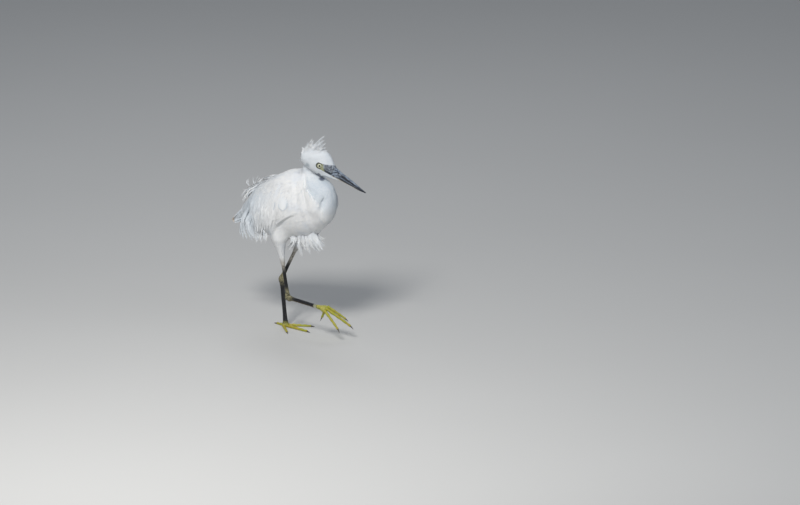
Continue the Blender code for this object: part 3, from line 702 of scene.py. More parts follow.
def lay(
    roots, rng, depth_here, length, width, low, high, outline, spread=0.10, curl=0.0, thick=0.3, free=0.0
):
    """Feathers laid on the body from their roots.

    A line starts in the skin and runs with the lie. Its points settle at heights that rise from
    low to high, and curl lifts the last of it. Length and width vary by a fifth, and are less where
    the coat is thinner than depth_here. Towards the wing's lower edge, lines that start out over the
    body keep more of that height, up to the share free.
    """
    _, slope = outward(roots)
    slope = unit(slope)
    ahead = lie_of(roots, slope)
    ahead = unit(ahead + np.cross(slope, ahead) * rng.normal(0, spread, (len(roots), 1)))
    depth = coat_depth(roots)
    size = np.minimum(depth / depth_here, 1) ** 1.2
    share = np.linspace(0, 1, len(outline) + 1)
    long = length * size * rng.uniform(0.8, 1.2, len(roots))
    lines = roots[:, None] + ahead[:, None] * (long[:, None] * share)[..., None]
    rise = low + (high - low) * share**0.8 + curl * share**3 * rng.uniform(0, 1, (len(roots), 1))
    scale = (depth / 2.4)[:, None]
    place, angle, _ = egg_section(of_torso(roots), TORSO)
    hold = 1 - free * ease(wing_share(place, angle), 0.5, 0.85)
    lines, out = settle(lines, rise * scale, hold=np.repeat(hold, lines.shape[1]))
    broad = width * size * rng.uniform(0.8, 1.2, len(roots))
    return vanes(lines, out, broad, thick, outline, rng.uniform(0, 1, len(roots)))


def along_guides(guides, pick, t, steps=40):
    """Places at shares t of the picked guides, each a smooth curve through its points."""
    keys = np.linspace(0, 1, guides.shape[1])
    rows = np.column_stack([keys, guides.transpose(1, 0, 2).reshape(len(keys), -1)])
    fine = profile(rows, np.linspace(0, 1, steps + 1)).reshape(steps + 1, len(guides), 3)
    place = np.clip(t, 0, 1) * steps
    low = np.minimum(place.astype(int), steps - 1)
    part = (place - low)[..., None]
    pick = np.broadcast_to(pick[:, None], t.shape)
    return fine[low, pick] * (1 - part) + fine[low + 1, pick] * part


def strand_lines(guides, pick, begin, end, spread, rng, points):
    """Lines along guides, of so many points: each runs from share begin to share end of its guide.

    A pick between two whole numbers lies between two guides. spread is how far a line lies off its
    guide at its root and at its tip. The lines wave a little.
    """
    count = len(pick)
    share = np.linspace(0, 1, points)
    t = begin[:, None] + (end - begin)[:, None] * share
    low = np.minimum(pick.astype(int), len(guides) - 2)
    part = (pick - low)[:, None, None]
    lines = along_guides(guides, low, t) * (1 - part) + along_guides(guides, low + 1, t) * part
    way = unit(rng.normal(size=(count, 1, 3))) * rng.uniform(0.2, 1, (count, 1, 1))
    lines = lines + way * (spread[0] + (spread[1] - spread[0]) * share)[:, None]
    wave = np.sin(share * rng.uniform(3, 7, (count, 1)) + rng.uniform(0, 6, (count, 1)))
    return lines + rng.normal(0, 0.25, (count, 1, 3)) * (wave * share)[..., None]


def body_coat(skin, finish, rng):
    """The laid coat of every body, one or more pieces each, split by region.

    A layer's row holds the roots' spacing, length, width, heights of root and tip, outline, and what
    else lay takes.
    """
    points, faces = mesh_arrays(skin)
    middle = points[faces].mean(1)
    owner = gaps(middle).argmin(0)
    feathered = bare_face(middle) <= 0.35
    torso = of_torso(middle)
    place, angle, _ = egg_section(torso, TORSO)
    down = wing_share(place, angle)
    winged = (wing_thickness(place, angle) > 1.0) & (owner == BODIES.index("torso"))
    area = {name: (owner == number) & feathered for number, name in enumerate(BODIES)}
    area["head"] |= area["chin"]
    pieces = []

    def grow(name, body, wanted, layers):
        """Adds one piece, with its layers on the wanted triangles."""
        groups = []
        for spacing, *measures, options in layers:
            roots = scatter(points, faces, spacing, rng, wanted)
            groups.append(lay(roots, rng, COAT[body], *measures, **options))
        pieces.append(coat_piece(name, groups, body, finish))

    fine = {"spread": 0.14, "curl": 0.25, "thick": 0.12}
    grow("coat_head", "head", area["head"], [
        (1.7, 6.0, 2.6, -2.2, 0.35, SHORT, {}),
        (1.35, 5.0, 0.6, -1.4, 0.55, HAIR, fine),
    ])
    ahead, _, above = of_head(middle).T
    crown = area["head"] & (above - 0.9 * ahead + 3 * wander(middle, 9, 7) > 14)
    grow("crown_down", "head", crown, [
        (1.25, 9.5, 0.9, -1.2, 1.4, HAIR, {"spread": 0.3, "curl": 3.0, "thick": 0.2}),
    ])
    grow("coat_neck", "neck", area["neck"], [
        (3.0, 14, 5.2, -2.6, 0.3, ROUND, {}),
        (2.2, 12, 1.1, -1.5, 0.45, SHORT, fine),
    ])
    grow("coat_body", "torso", area["torso"] & ~winged, [
        (4.2, 22, 9.0, -2.6, 0.4, ROUND, {}),
        (2.9, 18, 1.6, -1.5, 0.5, SHORT, fine),
    ])
    grow("coat_tail", "tail", area["tail"], [
        (3.2, 15, 5.0, -2.4, 0.4, ROUND, {}),
        (2.2, 12, 1.0, -1.6, 1.0, SHORT, fine),
    ])
    grow("coat_wing_edge", "torso", winged & (down > EDGE_FROM), [
        (1.9, 15, 1.7, -1.5, 0.5, SLIM, {"spread": 0.12, "thick": 0.2, "free": 0.3}),
    ])
    for side, sign in SIDES.items():
        grow(f"coat_thigh_{side}", side, area[side], [
            (2.6, 10, 4.0, -2.4, 0.4, SHORT, {}),
            (1.8, 8, 0.9, -1.4, 0.9, SHORT, fine),
        ])
        wing = winged & (down < ROOTS_TO) & (np.sign(torso[:, 1]) == sign)
        grow(f"coat_wing_{side}", "torso", wing, [
            (4.2, 26, 7.0, -2.4, 0.6, SLIM, {"spread": 0.07, "free": 0.4}),
            (2.9, 21, 1.8, -1.4, 0.8, SLIM, {"spread": 0.10, "thick": 0.2, "free": 0.5}),
        ])
    return pieces


# Long loose feathers of the wing's rear and lower edge: guide lines from the rear forwards, each from
# the back down to its tip, on the bird's right.
WING_GUIDES = np.array([
    [(-76, -32, 282), (-81, -37, 259), (-86, -40, 235), (-92, -42, 214), (-93, -44, 194)],
    [(-58, -44, 296), (-71, -45, 271), (-80, -44, 245), (-85, -46, 217), (-82, -44, 187)],
    [(-50, -47, 298), (-59, -52, 275), (-70, -50, 246), (-76, -49, 218), (-70, -44, 185)],
    [(-37, -51, 306), (-43, -58, 281), (-52, -59, 250), (-60, -55, 220), (-53, -46, 188)],
    [(-18, -52, 316), (-25, -61, 291), (-32, -64, 261), (-42, -59, 229), (-40, -48, 194)],
    [(4, -53, 325), (-1, -63, 299), (-8, -67, 270), (-17, -65, 241), (-22, -55, 210)],
    [(30, -55, 332), (25, -64, 304), (19, -69, 277), (12, -67, 249), (3, -60, 222)],
    [(55, -53, 334), (53, -63, 308), (49, -68, 287), (44, -68, 264), (36, -62, 240)],
], float)
# Their groups: first and last guide, count, begin and end of each, spread, width and outline.
WING_GROUPS = (
    (0.0, 3.4, 150, (0.0, 0.40), (0.55, 0.86), (2.5, 3.0), 8.5, ROUND),
    (0.0, 4.4, 110, (0.30, 0.60), (0.84, 1.0), (2.5, 1.5), 3.6, SLIM),
    (0.0, 4.2, 420, (0.2, 0.75), (0.7, 1.0), (2.5, 2.2), 1.5, SLIM),
    (3.4, 6.6, 110, (0.0, 0.55), (0.6, 1.0), (2.5, 2.0), 8.0, ROUND),
    (3.4, 6.8, 300, (0.0, 0.6), (0.5, 1.0), (3, 2), 2.0, SLIM),
)
# Big shoulder feathers with a rounded end: root and tip on the bird's right, and width.
SCAPULARS = np.array([
    (50, -55, 324, 55, -64, 280, 20), (24, -52, 330, 30, -66, 278, 10), (6, -50, 324, 4, -66, 270, 9),
    (-12, -48, 318, -19, -63, 264, 8),
], float)


def mirrored(points, side):
    """Points of the bird's right, or the same on its left."""
    flip = np.array((1, -1, 1)) if side == "left" else np.ones(3)
    return (points - (0, MIDLINE, 0)) * flip + (0, MIDLINE, 0)


def shoulder_feathers(side, rng):
    """Big feathers with a rounded end, each over a slightly larger and cooler one whose painted shade shows
    as a shaded rim round it.
    """
    root, tip = mirrored(SCAPULARS[:, None, :3], side), mirrored(SCAPULARS[:, None, 3:6], side)
    t = np.linspace(0, 1, len(PADDLE) + 1)[:, None]
    groups = []
    # The larger one lies in full painted shade, and the one over it in a little.
    for longer, wider, low, high, shade in ((1.05, 1.22, -2.4, 1.5, 1.0), (1.0, 1.0, -2.2, 2.1, 0.35)):
        lines, out = settle(root + longer * t * (tip - root), low + (high - low) * t[:, 0] ** 0.8)
        made = vanes(lines, out, wider * SCAPULARS[:, 6], 0.8, PADDLE, rng.uniform(0, 1, len(root)))
        made["shade"] = np.full(len(root), shade)
        groups.append(made)
    return groups


def long_feathers(side, finish, rng):
    """The wing's long loose feathers in tiers along their guides, and the big shoulder feathers.

    Those of the rear gather towards their guides. Where a line hangs well clear of the body it keeps
    its place and faces sideways, and elsewhere it settles on the body.
    """
    guides = mirrored(WING_GUIDES, side)
    groups = []
    for first, last, count, begin, end, spread, width, outline in WING_GROUPS:
        pick = rng.uniform(first, last, count)
        gather = 0.75 if last < 5 else 0.0
        pick = pick + gather * (np.round(pick) - pick)
        start, stop = rng.uniform(*begin, count), rng.uniform(*end, count)
        lines = strand_lines(guides, pick, start, stop, spread, rng, len(outline) + 1)
        free = ease(height_over(lines.reshape(-1, 3)).reshape(lines.shape[:2]), 5.0, 11.0)
        lift = np.linspace(-0.6, 1.3, lines.shape[1]) + rng.uniform(0, 0.8, (count, 1))
        lines, out = settle(lines, lift, hold=(1 - free).ravel())
        face = unit(np.array((0, SIDES[side], 0.25)) + 0.2 * rng.normal(size=(count, 1, 3)))
        out = unit(out * (1 - free[..., None]) + face * free[..., None])
        broad = width * rng.uniform(0.7, 1.2, count)
        groups.append(vanes(lines, out, broad, 0.35, outline, rng.uniform(0, 1, count)))
    return coat_piece(f"long_feathers_{side}", groups + shoulder_feathers(side, rng), "torso", finish)


# Crest in the head's frame, from the nape forwards: root place and height, tip place and height.
CREST = np.array([
    (-35, -13, -48, -19.5), (-39, -9, -44.5, -11), (-41, -3, -49, -2.5), (-41, 2, -54, 9.5),
    (-41, 6, -46, 18), (-40, 9, -46, 27), (-37, 13, -43.5, 39.5), (-34, 15, -39, 38), (-32, 16, -34.6, 29),
    (-31, 17, -28, 44), (-29, 18, -22.5, 59.5), (-25, 20, -18.5, 51), (-20, 22, -12.6, 46),
    (-15, 23, -7.6, 38), (-9, 24, -1.8, 32), (-4, 24, 2, 29.5),
], float)
# Fringe under the breast and behind the thigh: root and tip, then strands and spread at both ends.
FRINGE = np.array([
    (54, -13, 216, 21.6, -18, 181, 26, 4, 1.3), (58, -12, 216, 25.8, -18, 176.5, 26, 4, 1.2),
    (56, -14, 215, 38, -18, 186, 22, 4, 1.6), (62, -12, 216, 51.4, -16, 184, 22, 4, 1.6),
    (68, -9, 219, 62.2, -12, 168, 44, 3.5, 2.6), (50, -16, 213, 33, -20, 192, 22, 5, 2.5),
    (46, -10, 212, 30, -8, 186, 18, 5, 2.5), (60, 0, 215, 52, 6, 182, 24, 5, 2.5),
    (84, -8, 224, 84.4, -8, 177, 26, 4, 1.6), (88, -6, 226, 98.2, -8, 188, 22, 4, 1.6),
    (90, -4, 226, 106, -6, 184, 22, 4, 1.6), (94, -6, 227, 114, -8, 187, 26, 4, 1.6),
    (97, -5, 229, 124.5, -8, 192, 26, 4, 1.4), (98, -4, 230, 122.4, -8, 199.6, 22, 4, 1.4),
    (52, -16, 215, 44, -20, 188, 34, 5, 3), (72, -13, 221, 70, -15, 190, 34, 5, 3.5),
    (78, -12, 223, 78, -14, 184, 30, 5, 3),
    (84, 2, 224, 90, 6, 184, 22, 4, 2.5), (92, 4, 226, 108, 8, 194, 20, 4, 2.5),
    (-24, -46, 228, -23, -51, 189, 24, 4, 2.4), (-10, -47, 230, -8, -52, 193, 22, 4, 2.4),
    (-38, -44, 226, -38, -50, 188, 24, 4, 2.4), (-30, -46, 228, -30, -50, 194, 24, 4, 2.4),
    (-24, 34, 228, -23, 39, 189, 22, 4, 2.4), (-8, 35, 230, -6, 40, 194, 20, 4, 2.4),
], float)
# Fine single filaments before the fringe: root and tip.
FILAMENTS = np.array([
    (98, -6, 228, 131.7, -6, 222.7), (98, -8, 226, 131.7, -8, 208), (96, -4, 226, 127, -4, 202),
    (90, -8, 225, 112, -8, 196), (88, -2, 225, 116, 0, 208),
], float)
# Plumes of the back, each a guide of four points.
PLUMES = np.array([
    [(-58, -6, 306), (-82, -7, 298), (-106, -7, 284), (-125.4, -8, 267.7)],
    [(-60, -10, 304), (-84, -11, 293), (-104, -12, 275), (-117.7, -12, 256)],
    [(-60, -13, 302), (-82, -14, 291), (-98, -15, 276), (-106, -15, 261)],
    [(-62, -16, 300), (-79, -17, 290), (-90, -18, 276), (-96, -18, 261)],
    [(-60, -2, 304), (-84, -1, 296), (-104, 0, 280), (-116, 1, 262)],
    [(-60, 4, 302), (-82, 5, 292), (-98, 6, 276), (-108, 7, 258)],
    [(-24, 2, 327), (-46, 3, 321), (-66, 3, 314.5), (-88, 2, 302)],
    [(-26, 7, 326), (-48, 8, 317), (-68, 8, 309), (-86, 7, 296)],
    [(-28, -3, 326), (-50, -3, 315), (-70, -3, 304), (-92, -3, 290)],
    [(-34, 12, 320), (-54, 13, 311), (-70, 13, 301), (-86, 12, 288)],
    [(-36, -10, 320), (-56, -11, 309), (-74, -12, 296), (-92, -13, 280)],
], float)
CURLS = np.array([
    [(-84, -6, 296), (-105, -6, 295), (-110, -6, 303), (-99.3, -6, 316)],
    [(-84, -5, 295), (-101, -5, 294), (-107, -5, 300), (-104, -5, 309)],
    [(-80, -4, 296), (-90, -4, 303), (-92.5, -4, 310), (-91.5, -4, 318)],
    [(-78, -7, 298), (-84, -7, 306), (-79, -7, 315), (-71.8, -7, 325)],
    [(-74, -2, 300), (-80, -2, 306), (-78, -2, 312), (-74, -1, 319)],
    [(-96, -8, 290), (-106, -8, 287), (-114, -8, 285), (-121, -8, 285)],
], float)


def fanned(guides, counts, ends, spread, width, rng, outline=SLIM, thick=0.3, mass=(0, 0, 1), rooted=False):
    """A bundle of strands along each guide, ending at shares between ends and facing any way.

    If rooted, a root that lies outside the skin is drawn into it, and its strand with it. The
    strands are shaded as one mass that faces up, or where none is given, away from the body.
    """
    pick = np.repeat(np.arange(len(guides)), counts).astype(float)
    count = len(pick)
    begin, stop = rng.uniform(0, 0.12, count), rng.uniform(*ends, count)
    lines = strand_lines(guides, pick, begin, stop, spread, rng, len(outline) + 1)
    height, slope = outward(lines[:, 0])
    sunk = rooted * (np.maximum(height + 1.5, 0)[:, None] * unit(slope))[:, None]
    lines = lines - sunk * (1 - np.linspace(0, 1, lines.shape[1])[:, None]) ** 3
    away = unit(outward(lines.reshape(-1, 3))[1]).reshape(lines.shape)
    out = unit(away + 0.8 * unit(rng.normal(size=(count, 1, 3))))
    mass = away if mass is None else np.broadcast_to(np.array(mass, float), lines.shape)
    broad, tint = width * rng.uniform(0.6, 1.2, count), rng.uniform(0, 1, count)
    return vanes(lines, out, broad, thick, outline, tint, 0.5, mass)


def make_crest(finish, rng):
    """The ruffled crest: pointed tufts at the measured tips, and shorter ones between and beside them."""
    tufts, between = len(CREST), 190
    known = np.arange(tufts)
    rows = np.concatenate([known, rng.uniform(0, tufts - 1, between)])
    across = np.concatenate([rng.normal(0, 1.5, tufts), rng.uniform(-10, 10, between)])
    size = np.concatenate([np.ones(tufts), rng.uniform(0.25, 0.8, between)])
    root, base, tip, height = (np.interp(rows, known, column) for column in CREST.T)
    width = profile(HEAD, root)[:, 0]
    drop = 1 - np.sqrt(np.maximum(1 - (across / np.maximum(width, 11)) ** 2, 0.05))
    base = base - drop * np.maximum(base + 4, 0)
    height = base + (height - drop * 14 - base) * size
    tip = root + (tip - root) * size
    start = np.stack([root, across, base], -1)
    stop = np.stack([tip, across * 1.15, height], -1)
    bow = np.stack([-0.07 * (height - base), 0 * base, 0 * base], -1)
    guides = in_head(np.stack([start, (start + stop) / 2 + bow, stop], 1))
    groups = [
        fanned(guides[:tufts], 60, (0.62, 1.0), (4.2, 1.0), 1.0, rng, mass=None),
        fanned(guides[tufts:], 18, (0.6, 1.0), (3.2, 1.5), 1.1, rng, mass=None),
        fanned(guides[:tufts], 26, (0.5, 1.0), (4.5, 3.4), 0.5, rng, HAIR, 0.15, None),
    ]
    return coat_piece("crest", groups, "head", finish)


def make_fringe(finish, rng):
    """Loose tufts under the breast, blown back at the rear and forward at the front, and filaments.

    Those of the breast start up its right side, so that they cover the shadow under it.
    """
    groups = []
    for row in FRINGE:
        start, stop, (strands, root_spread, tip_spread) = row[:3], row[3:6], row[6:]
        breast = start[0] > 30
        start = settle((start + np.array((-2, -9, 9)) * breast)[None, None], -3.0)[0][0, 0]
        bow = np.array((5, 0, 0)) if 20 < stop[0] < 60 else np.array((-3, 0, -2)) * (stop[0] > 60)
        guide = np.stack([start, (start + stop) / 2 + bow, stop])
        guides = np.stack([guide, guide + (1, 0, 0)])
        mass = (0.1, -0.1, 1) if breast else (0, 0.5 if start[1] > MIDLINE else -0.5, 0.8)
        for share, ends, wider, width in ((0.6, (0.72, 1.0), 0, 1.8), (1.2, (0.4, 0.9), 2, 1.2)):
            spread = (root_spread + 1.5 + wider, tip_spread + wider)
            count = int(strands * share)
            groups.append(fanned(guides, count, ends, spread, width, rng, mass=mass, rooted=True))
    start, stop = FILAMENTS[:, :3], FILAMENTS[:, 3:]
    guides = np.stack([start, (start + stop) / 2 + (2, 0, -8), stop], 1)
    groups.append(fanned(guides, 16, (0.6, 1.0), (3.5, 5.5), 0.6, rng, thick=0.2))
    return coat_piece("fringe", groups, "torso", finish)


def make_plumes(finish, rng):
    """Loose plumes of the back, blown down over the rump, and thin curled ones that stand up."""
    groups = [
        fanned(PLUMES, 70, (0.75, 1.0), (6.5, 3.2), 2.8, rng),
        fanned(PLUMES, 80, (0.35, 0.9), (7.0, 5.5), 3.0, rng),
        fanned(CURLS, 7, (0.86, 1.0), (1.6, 0.35), 1.0, rng),
    ]
    return coat_piece("back_plumes", groups, "torso", finish)


def make_tail(finish, rng):
    """Tail feathers stacked roof-like on both sides, each a wide vane with slim ones on its edges.

    The middle ones run down along the top of a wedge, and the outer ones nearly level along its foot.
    """
    groups = []
    s = np.linspace(-1, 1, 15)
    left = s > 0.05
    low = np.abs(s) + 0.2 * left
    roll = np.radians(64) * np.where(left, 1, -1) * np.maximum(np.abs(s), 0.1) ** 0.3
    for slide, thin in ((0, 1.0), (-0.30, 0.4), (0.30, 0.4), (0.12, 0.22)):
        start = np.stack([-108 + 0 * s, MIDLINE + 10 * s + 6 * slide, 251 - 25 * low], -1)
        stop = np.stack([-157 + 11 * low, MIDLINE + 6.5 * s + 3 * slide, 211 - 3 * low], -1)
        stop = start + (stop - start) * rng.uniform(0.93, 1.0, (len(s), 1)) * (1 - 0.3 * abs(slide))
        t = np.linspace(0, 1, len(ROUND) + 1)[None, :, None]
        lines = start[:, None] + t * (stop - start)[:, None] + (0, 0, 1.5) * np.sin(math.pi * t)
        face = np.stack([-0.66 * np.cos(roll), np.sin(roll), 0.75 * np.cos(roll)], -1)
        out = np.broadcast_to(face[:, None], lines.shape)
        tint = rng.uniform(0, 1, len(s))
        mass = np.broadcast_to(np.array((0, 0, 1.0)), lines.shape)
        groups.append(vanes(lines, out, 14.0 * thin + 0 * s, 0.5, ROUND, tint, mass=mass))
    return coat_piece("tail_feathers", groups, "tail", finish)


# Bill along the head's axis: place, half width, culmen height, mouth line, chin height.
BILL = np.array([
    (24, 7.2, 13.2, -4.4, -15.4), (32, 6.8, 10.8, -4.0, -14.2), (42, 5.8, 8.8, -3.4, -11.6),
    (54, 4.9, 7.0, -2.6, -9.8), (70, 4.1, 5.3, -2.0, -8.6), (86, 3.2, 3.1, -2.2, -7.4),
    (100, 2.2, 0.6, -2.5, -6.0), (109, 1.3, -0.9, -2.6, -4.4), (114, 0.6, -1.7, -2.5, -3.3),
], float)
# Each half of the bill keeps this far from the mouth line.
MOUTH_GAP = 0.15
# Nostril: place, height and length.
NOSTRIL = (44.0, 3.6, 4.2)


def make_bill(half, finish):
    """One half of the bill: a rounded ridge over the flat mouth line.

    Across a section the side runs as width sin(a) and the ridge as cos(a) to the power 0.85. The
    upper half has a slit nostril, pressed in as a bell curve, and a long shallow groove before it.
    """
    keys = np.linspace(BILL[0, 0], BILL[-1, 0], 90)
    width, culmen, mouth, chin = profile(BILL, keys).T
    upper = half == "upper"
    ridge, line = (culmen, mouth + MOUTH_GAP) if upper else (chin, mouth - MOUTH_GAP)
    angles = np.linspace(-math.pi / 2, math.pi / 2, 25)
    across = width[:, None] * np.sin(angles)
    up = line[:, None] + (ridge - line)[:, None] * np.maximum(np.cos(angles), 0) ** 0.85
    if upper:
        place, height, long = NOSTRIL
        slit = np.exp(-(((keys - place) / long) ** 4))[:, None] * bell(up - height, 0.75)
        groove = (ease(keys, 44, 50) * (1 - ease(keys, 66, 90)))[:, None]
        groove = groove * bell(up - (line + 0.52 * (ridge - line))[:, None], 0.8)
        across = across * (1 - 0.24 * slit - 0.07 * groove)
    rings = np.stack([keys[:, None] + 0 * across, across, up], -1)
    rings[:, [0, -1], 2] = line[:, None]
    piece = tube_mesh(f"bill_horn_{half}", in_head(rings), finish, flip=not upper)
    piece.data.set_sharp_from_angle(angle=math.radians(50))
    return piece


def facing_frame(sign):
    """Two directions square to the way an eye looks, and that way, in the head's frame."""
    facing = unit((0.22, sign, 0.05))
    level = unit(np.cross(facing, (0, 0, 1)))
    return level, np.cross(level, facing), facing


def make_eye(side, finish):
    """An eyeball round its looking direction, with a low swell of clear cornea at its front."""
    level, rising, facing = facing_frame(SIDES[side])
    polar = np.linspace(0.02, math.pi - 0.02, 48)
    radius = EYE_RADIUS + 0.35 * bell(polar, 0.55)
    angles = circle(48)
    rings = (
        (radius * np.cos(polar))[:, None, None] * facing
        + (radius * np.sin(polar))[:, None, None]
        * (np.cos(angles)[:, None] * level + np.sin(angles)[:, None] * rising)
    )
    centre = np.array((0, SIDES[side] * EYE_SIDE, 0))
    return tube_mesh(f"eyeball_{side}", in_head(centre + rings), finish, flip=True)


def make_lid(side, finish):
    """The bare rim round an eye: a ring of round section with fine folds."""
    sign = SIDES[side]
    level, rising, facing = facing_frame(sign)
    around = np.linspace(0, 2 * math.pi, 97)
    section = circle(12)
    spoke = np.cos(around)[:, None] * level + np.sin(around)[:, None] * rising
    thick = LID_THICK * (1 + 0.10 * np.sin(around * 23) * np.cos(around * 5))
    middle = np.array([0, sign * LID_SIDE, 0]) + LID_RING * spoke
    rings = (
        middle[:, None]
        + (thick[:, None] * np.cos(section))[..., None] * spoke[:, None]
        + (thick[:, None] * 0.9 * np.sin(section))[..., None] * facing
    )
    points = in_head(rings[:-1])
    rows, size = points.shape[:2]
    quads = grid_faces(rows + 1, size) % (rows * size)
    around_map = np.repeat(np.linspace(0, 1, rows), size)
    coords = np.stack([around_map, np.tile(np.arange(size) / size, rows)], -1)
    return put_mesh(f"lid_{side}", points.reshape(-1, 3), quads, finish, maps=[("around", coords)])


# Legs, toes and claws. Toes spread by degrees from the middle one, and a leg's rings lie a step apart.
SHANK_RADIUS = 3.7
ANKLE_REACH = 11.0
TOE_RADIUS = {"middle": 3.4, "inner": 3.0, "outer": 3.1, "hind": 3.2}
# A standing toe's middle line lies this share of its radius over the floor.
TOE_HEIGHT = 0.86
TOE_SPACING = 6.9
TOE_SPREAD = {
    "left": {"middle": 0, "inner": 36, "outer": 36},
    "right": {"middle": 0, "inner": 2, "outer": 24},
}
TOE_LENGTH = {"middle": 64.0, "inner": 47.0, "outer": 50.0, "hind": 26.0}
TOE_JOINTS = {"middle": 4, "inner": 3, "outer": 4, "hind": 2}
CLAW_LENGTH = {"middle": 10.0, "inner": 9.0, "outer": 8.5, "hind": 11.0}
CLAW_RADIUS = 1.75
RING_STEP = 0.7


def finer(path, widths, depths, count):
    """A path and its sizes at count places, evenly along it on a smooth curve, and those places."""
    steps = np.linalg.norm(np.diff(path, axis=0), axis=1)
    keys = np.concatenate([[0], np.cumsum(steps)])
    along = np.linspace(0, keys[-1], count)
    even = profile(np.column_stack([keys, path, widths, depths]), along)
    return even[:, :3], even[:, 3], even[:, 4], along


def plates(along, angles, pitch, reach, rise):
    """Overlapping plates across the front: each rises along its length and drops at its end."""
    phase = (along / pitch) % 1.0
    step = phase * ease(1 - phase, 0, 0.18) * rise
    front = ease(np.cos(angles), math.cos(reach), math.cos(reach * 0.75))
    return step[:, None] * front


def limb(name, path, widths, depths, facing, finish, pitch, rise, reach=1.1):
    """A leg part as rings of points along a finer path, with raised plates over its front."""
    count = max(int(np.linalg.norm(np.diff(path, axis=0), axis=1).sum() / RING_STEP), 24)
    path, widths, depths, along = finer(np.asarray(path, float), widths, depths, count)
    angles = circle(28)
    raised = plates(along, angles, pitch, reach, rise)
    rings = tube_rings(path, widths[:, None] + raised, depths[:, None] + raised, facing, angles)
    return name, rings, finish


def kept_up(made, side, lowest=0.0):
    """A made part of the standing leg, with no point of its rings lower than this."""
    name, rings, finish = made
    if side == STANDING:
        rings[..., 2] = np.maximum(rings[..., 2], lowest)
    return name, rings, finish


def foot_axes(side):
    """The middle toe's direction and the way the sole faces."""
    if side == STANDING:
        return unit((1, 0, 0)), np.array((0, 0, -1.0))
    ahead = unit((0.70, 0.47, -0.53))
    sole = np.array((-0.654, 0.178, -0.704))
    return ahead, unit(sole - (sole @ ahead) * ahead)


def make_leg(side, finish):
    """Bare shank, and the tarsus with its ankle knob and its lower end widened for the toes."""
    knee, feathered, ankle, ball = leg_line(side)
    down = unit(ankle - knee)
    top, bottom = feathered - down * 6, ankle - down * (ANKLE_REACH - 0.4)
    share = np.array([0, 0.2, 0.5, 0.8, 1.0])
    radius = SHANK_RADIUS * np.array([1.0, 0.94, 0.92, 1.0, 1.15])
    path = top + share[:, None] * (bottom - top)
    shank = limb(f"bare_shank_{side}", path, radius, radius * 1.1, (1, 0, 0), finish, 3.2, 0.16)
    ahead, sole = foot_axes(side)
    landing, reach = (sole, 0.0) if side == STANDING else (unit(ball - ankle), 3.0)
    low = ball - landing * 9
    slope = unit(low - ankle)
    long_top = ankle + slope * 12
    path = [
        ankle - down * ANKLE_REACH, ankle - down * 3.5, ankle + (slope + down) * 1.2,
        ankle + slope * 6, long_top, long_top + (low - long_top) * 0.33,
        long_top + (low - long_top) * 0.68, low - slope * 10, low - slope * 2,
        ball - landing * 5.4, ball - landing * (2.4 - reach / 2), ball + landing * reach,
    ]
    widths = np.array([4.1, 4.9, 5.6, 5.4, 4.2, 3.6, 3.6, 4.2, 5.2, 7.4, 8.8, 7.6])
    depths = np.array([4.4, 5.9, 7.0, 7.2, 6.2, 5.2, 4.9, 5.4, 6.2, 6.6, 5.8, 4.2])
    tarsus = limb(f"tarsus_scaled_{side}", path, widths, depths, ahead, finish, 3.6, 0.28)
    return shank, kept_up(tarsus, side)


def toe_path(side, toe):
    """Points of one toe's middle line, and the direction its claw takes."""
    ahead, sole = foot_axes(side)
    out = np.cross(ahead, -sole) * (-1 if side == STANDING else 1)
    centre = np.array(BALL[side], float) - sole * TOE_RADIUS["middle"] * TOE_HEIGHT
    length = TOE_LENGTH[toe]
    droop = 0.0 if side == STANDING else 0.06
    if toe == "hind":
        way = unit((-1, 0.08, 0)) if side == STANDING else unit((-19, 6, -29))
        start, offset = centre + way * 1.0, np.zeros(3)
    else:
        spread = {"middle": 0.0, "outer": -1.0, "inner": 1.0}[toe]
        angle = math.radians(TOE_SPREAD[side][toe]) * spread
        way = ahead * math.cos(angle) - out * math.sin(angle)
        start, offset = centre + ahead * 1.0, -out * TOE_SPACING * spread
    share = np.linspace(0, 1, 12 * TOE_JOINTS[toe] + 1)
    path = start + offset + share[:, None] * way * length
    path = path + (share**2)[:, None] * sole * length * droop
    return share, path, unit(way + 2 * droop * sole), sole


def make_toe(side, toe, toe_finish, claw_finish):
    """One toe with its joint pads and plates, and its claw."""
    share, path, way, sole = toe_path(side, toe)
    pads = 1 + 0.10 * np.cos(2 * math.pi * share * TOE_JOINTS[toe])
    radius = TOE_RADIUS[toe] * (1 - 0.30 * share) * pads
    radius[-1] *= 0.86
    if side == STANDING:
        path[:, 2] = radius * TOE_HEIGHT
    end = path[-1]
    made = limb(f"toe_scaled_{side}_{toe}", path, radius, radius, -sole, toe_finish, 2.7, 0.34, 1.25)
    t = np.linspace(0, 1, 24)
    curve = 0.06 if side == STANDING else 0.30
    radius = CLAW_RADIUS * (1 - 0.93 * t**1.3)
    path = end - way * 0.8 + t[:, None] * way * (CLAW_LENGTH[toe] + 0.8)
    path = path + (t**2)[:, None] * sole * CLAW_LENGTH[toe] * curve
    if side == STANDING:
        path[:, 2] = np.maximum(path[:, 2] - 0.8 * t, radius * 0.9 + 0.05)
    rings = tube_rings(path, radius[:, None] * 0.9, radius[:, None], -sole, circle(14))
    claw = (f"claw_horn_{side}_{toe}", rings, claw_finish)
    return kept_up(made, side), kept_up(claw, side, 0.05)


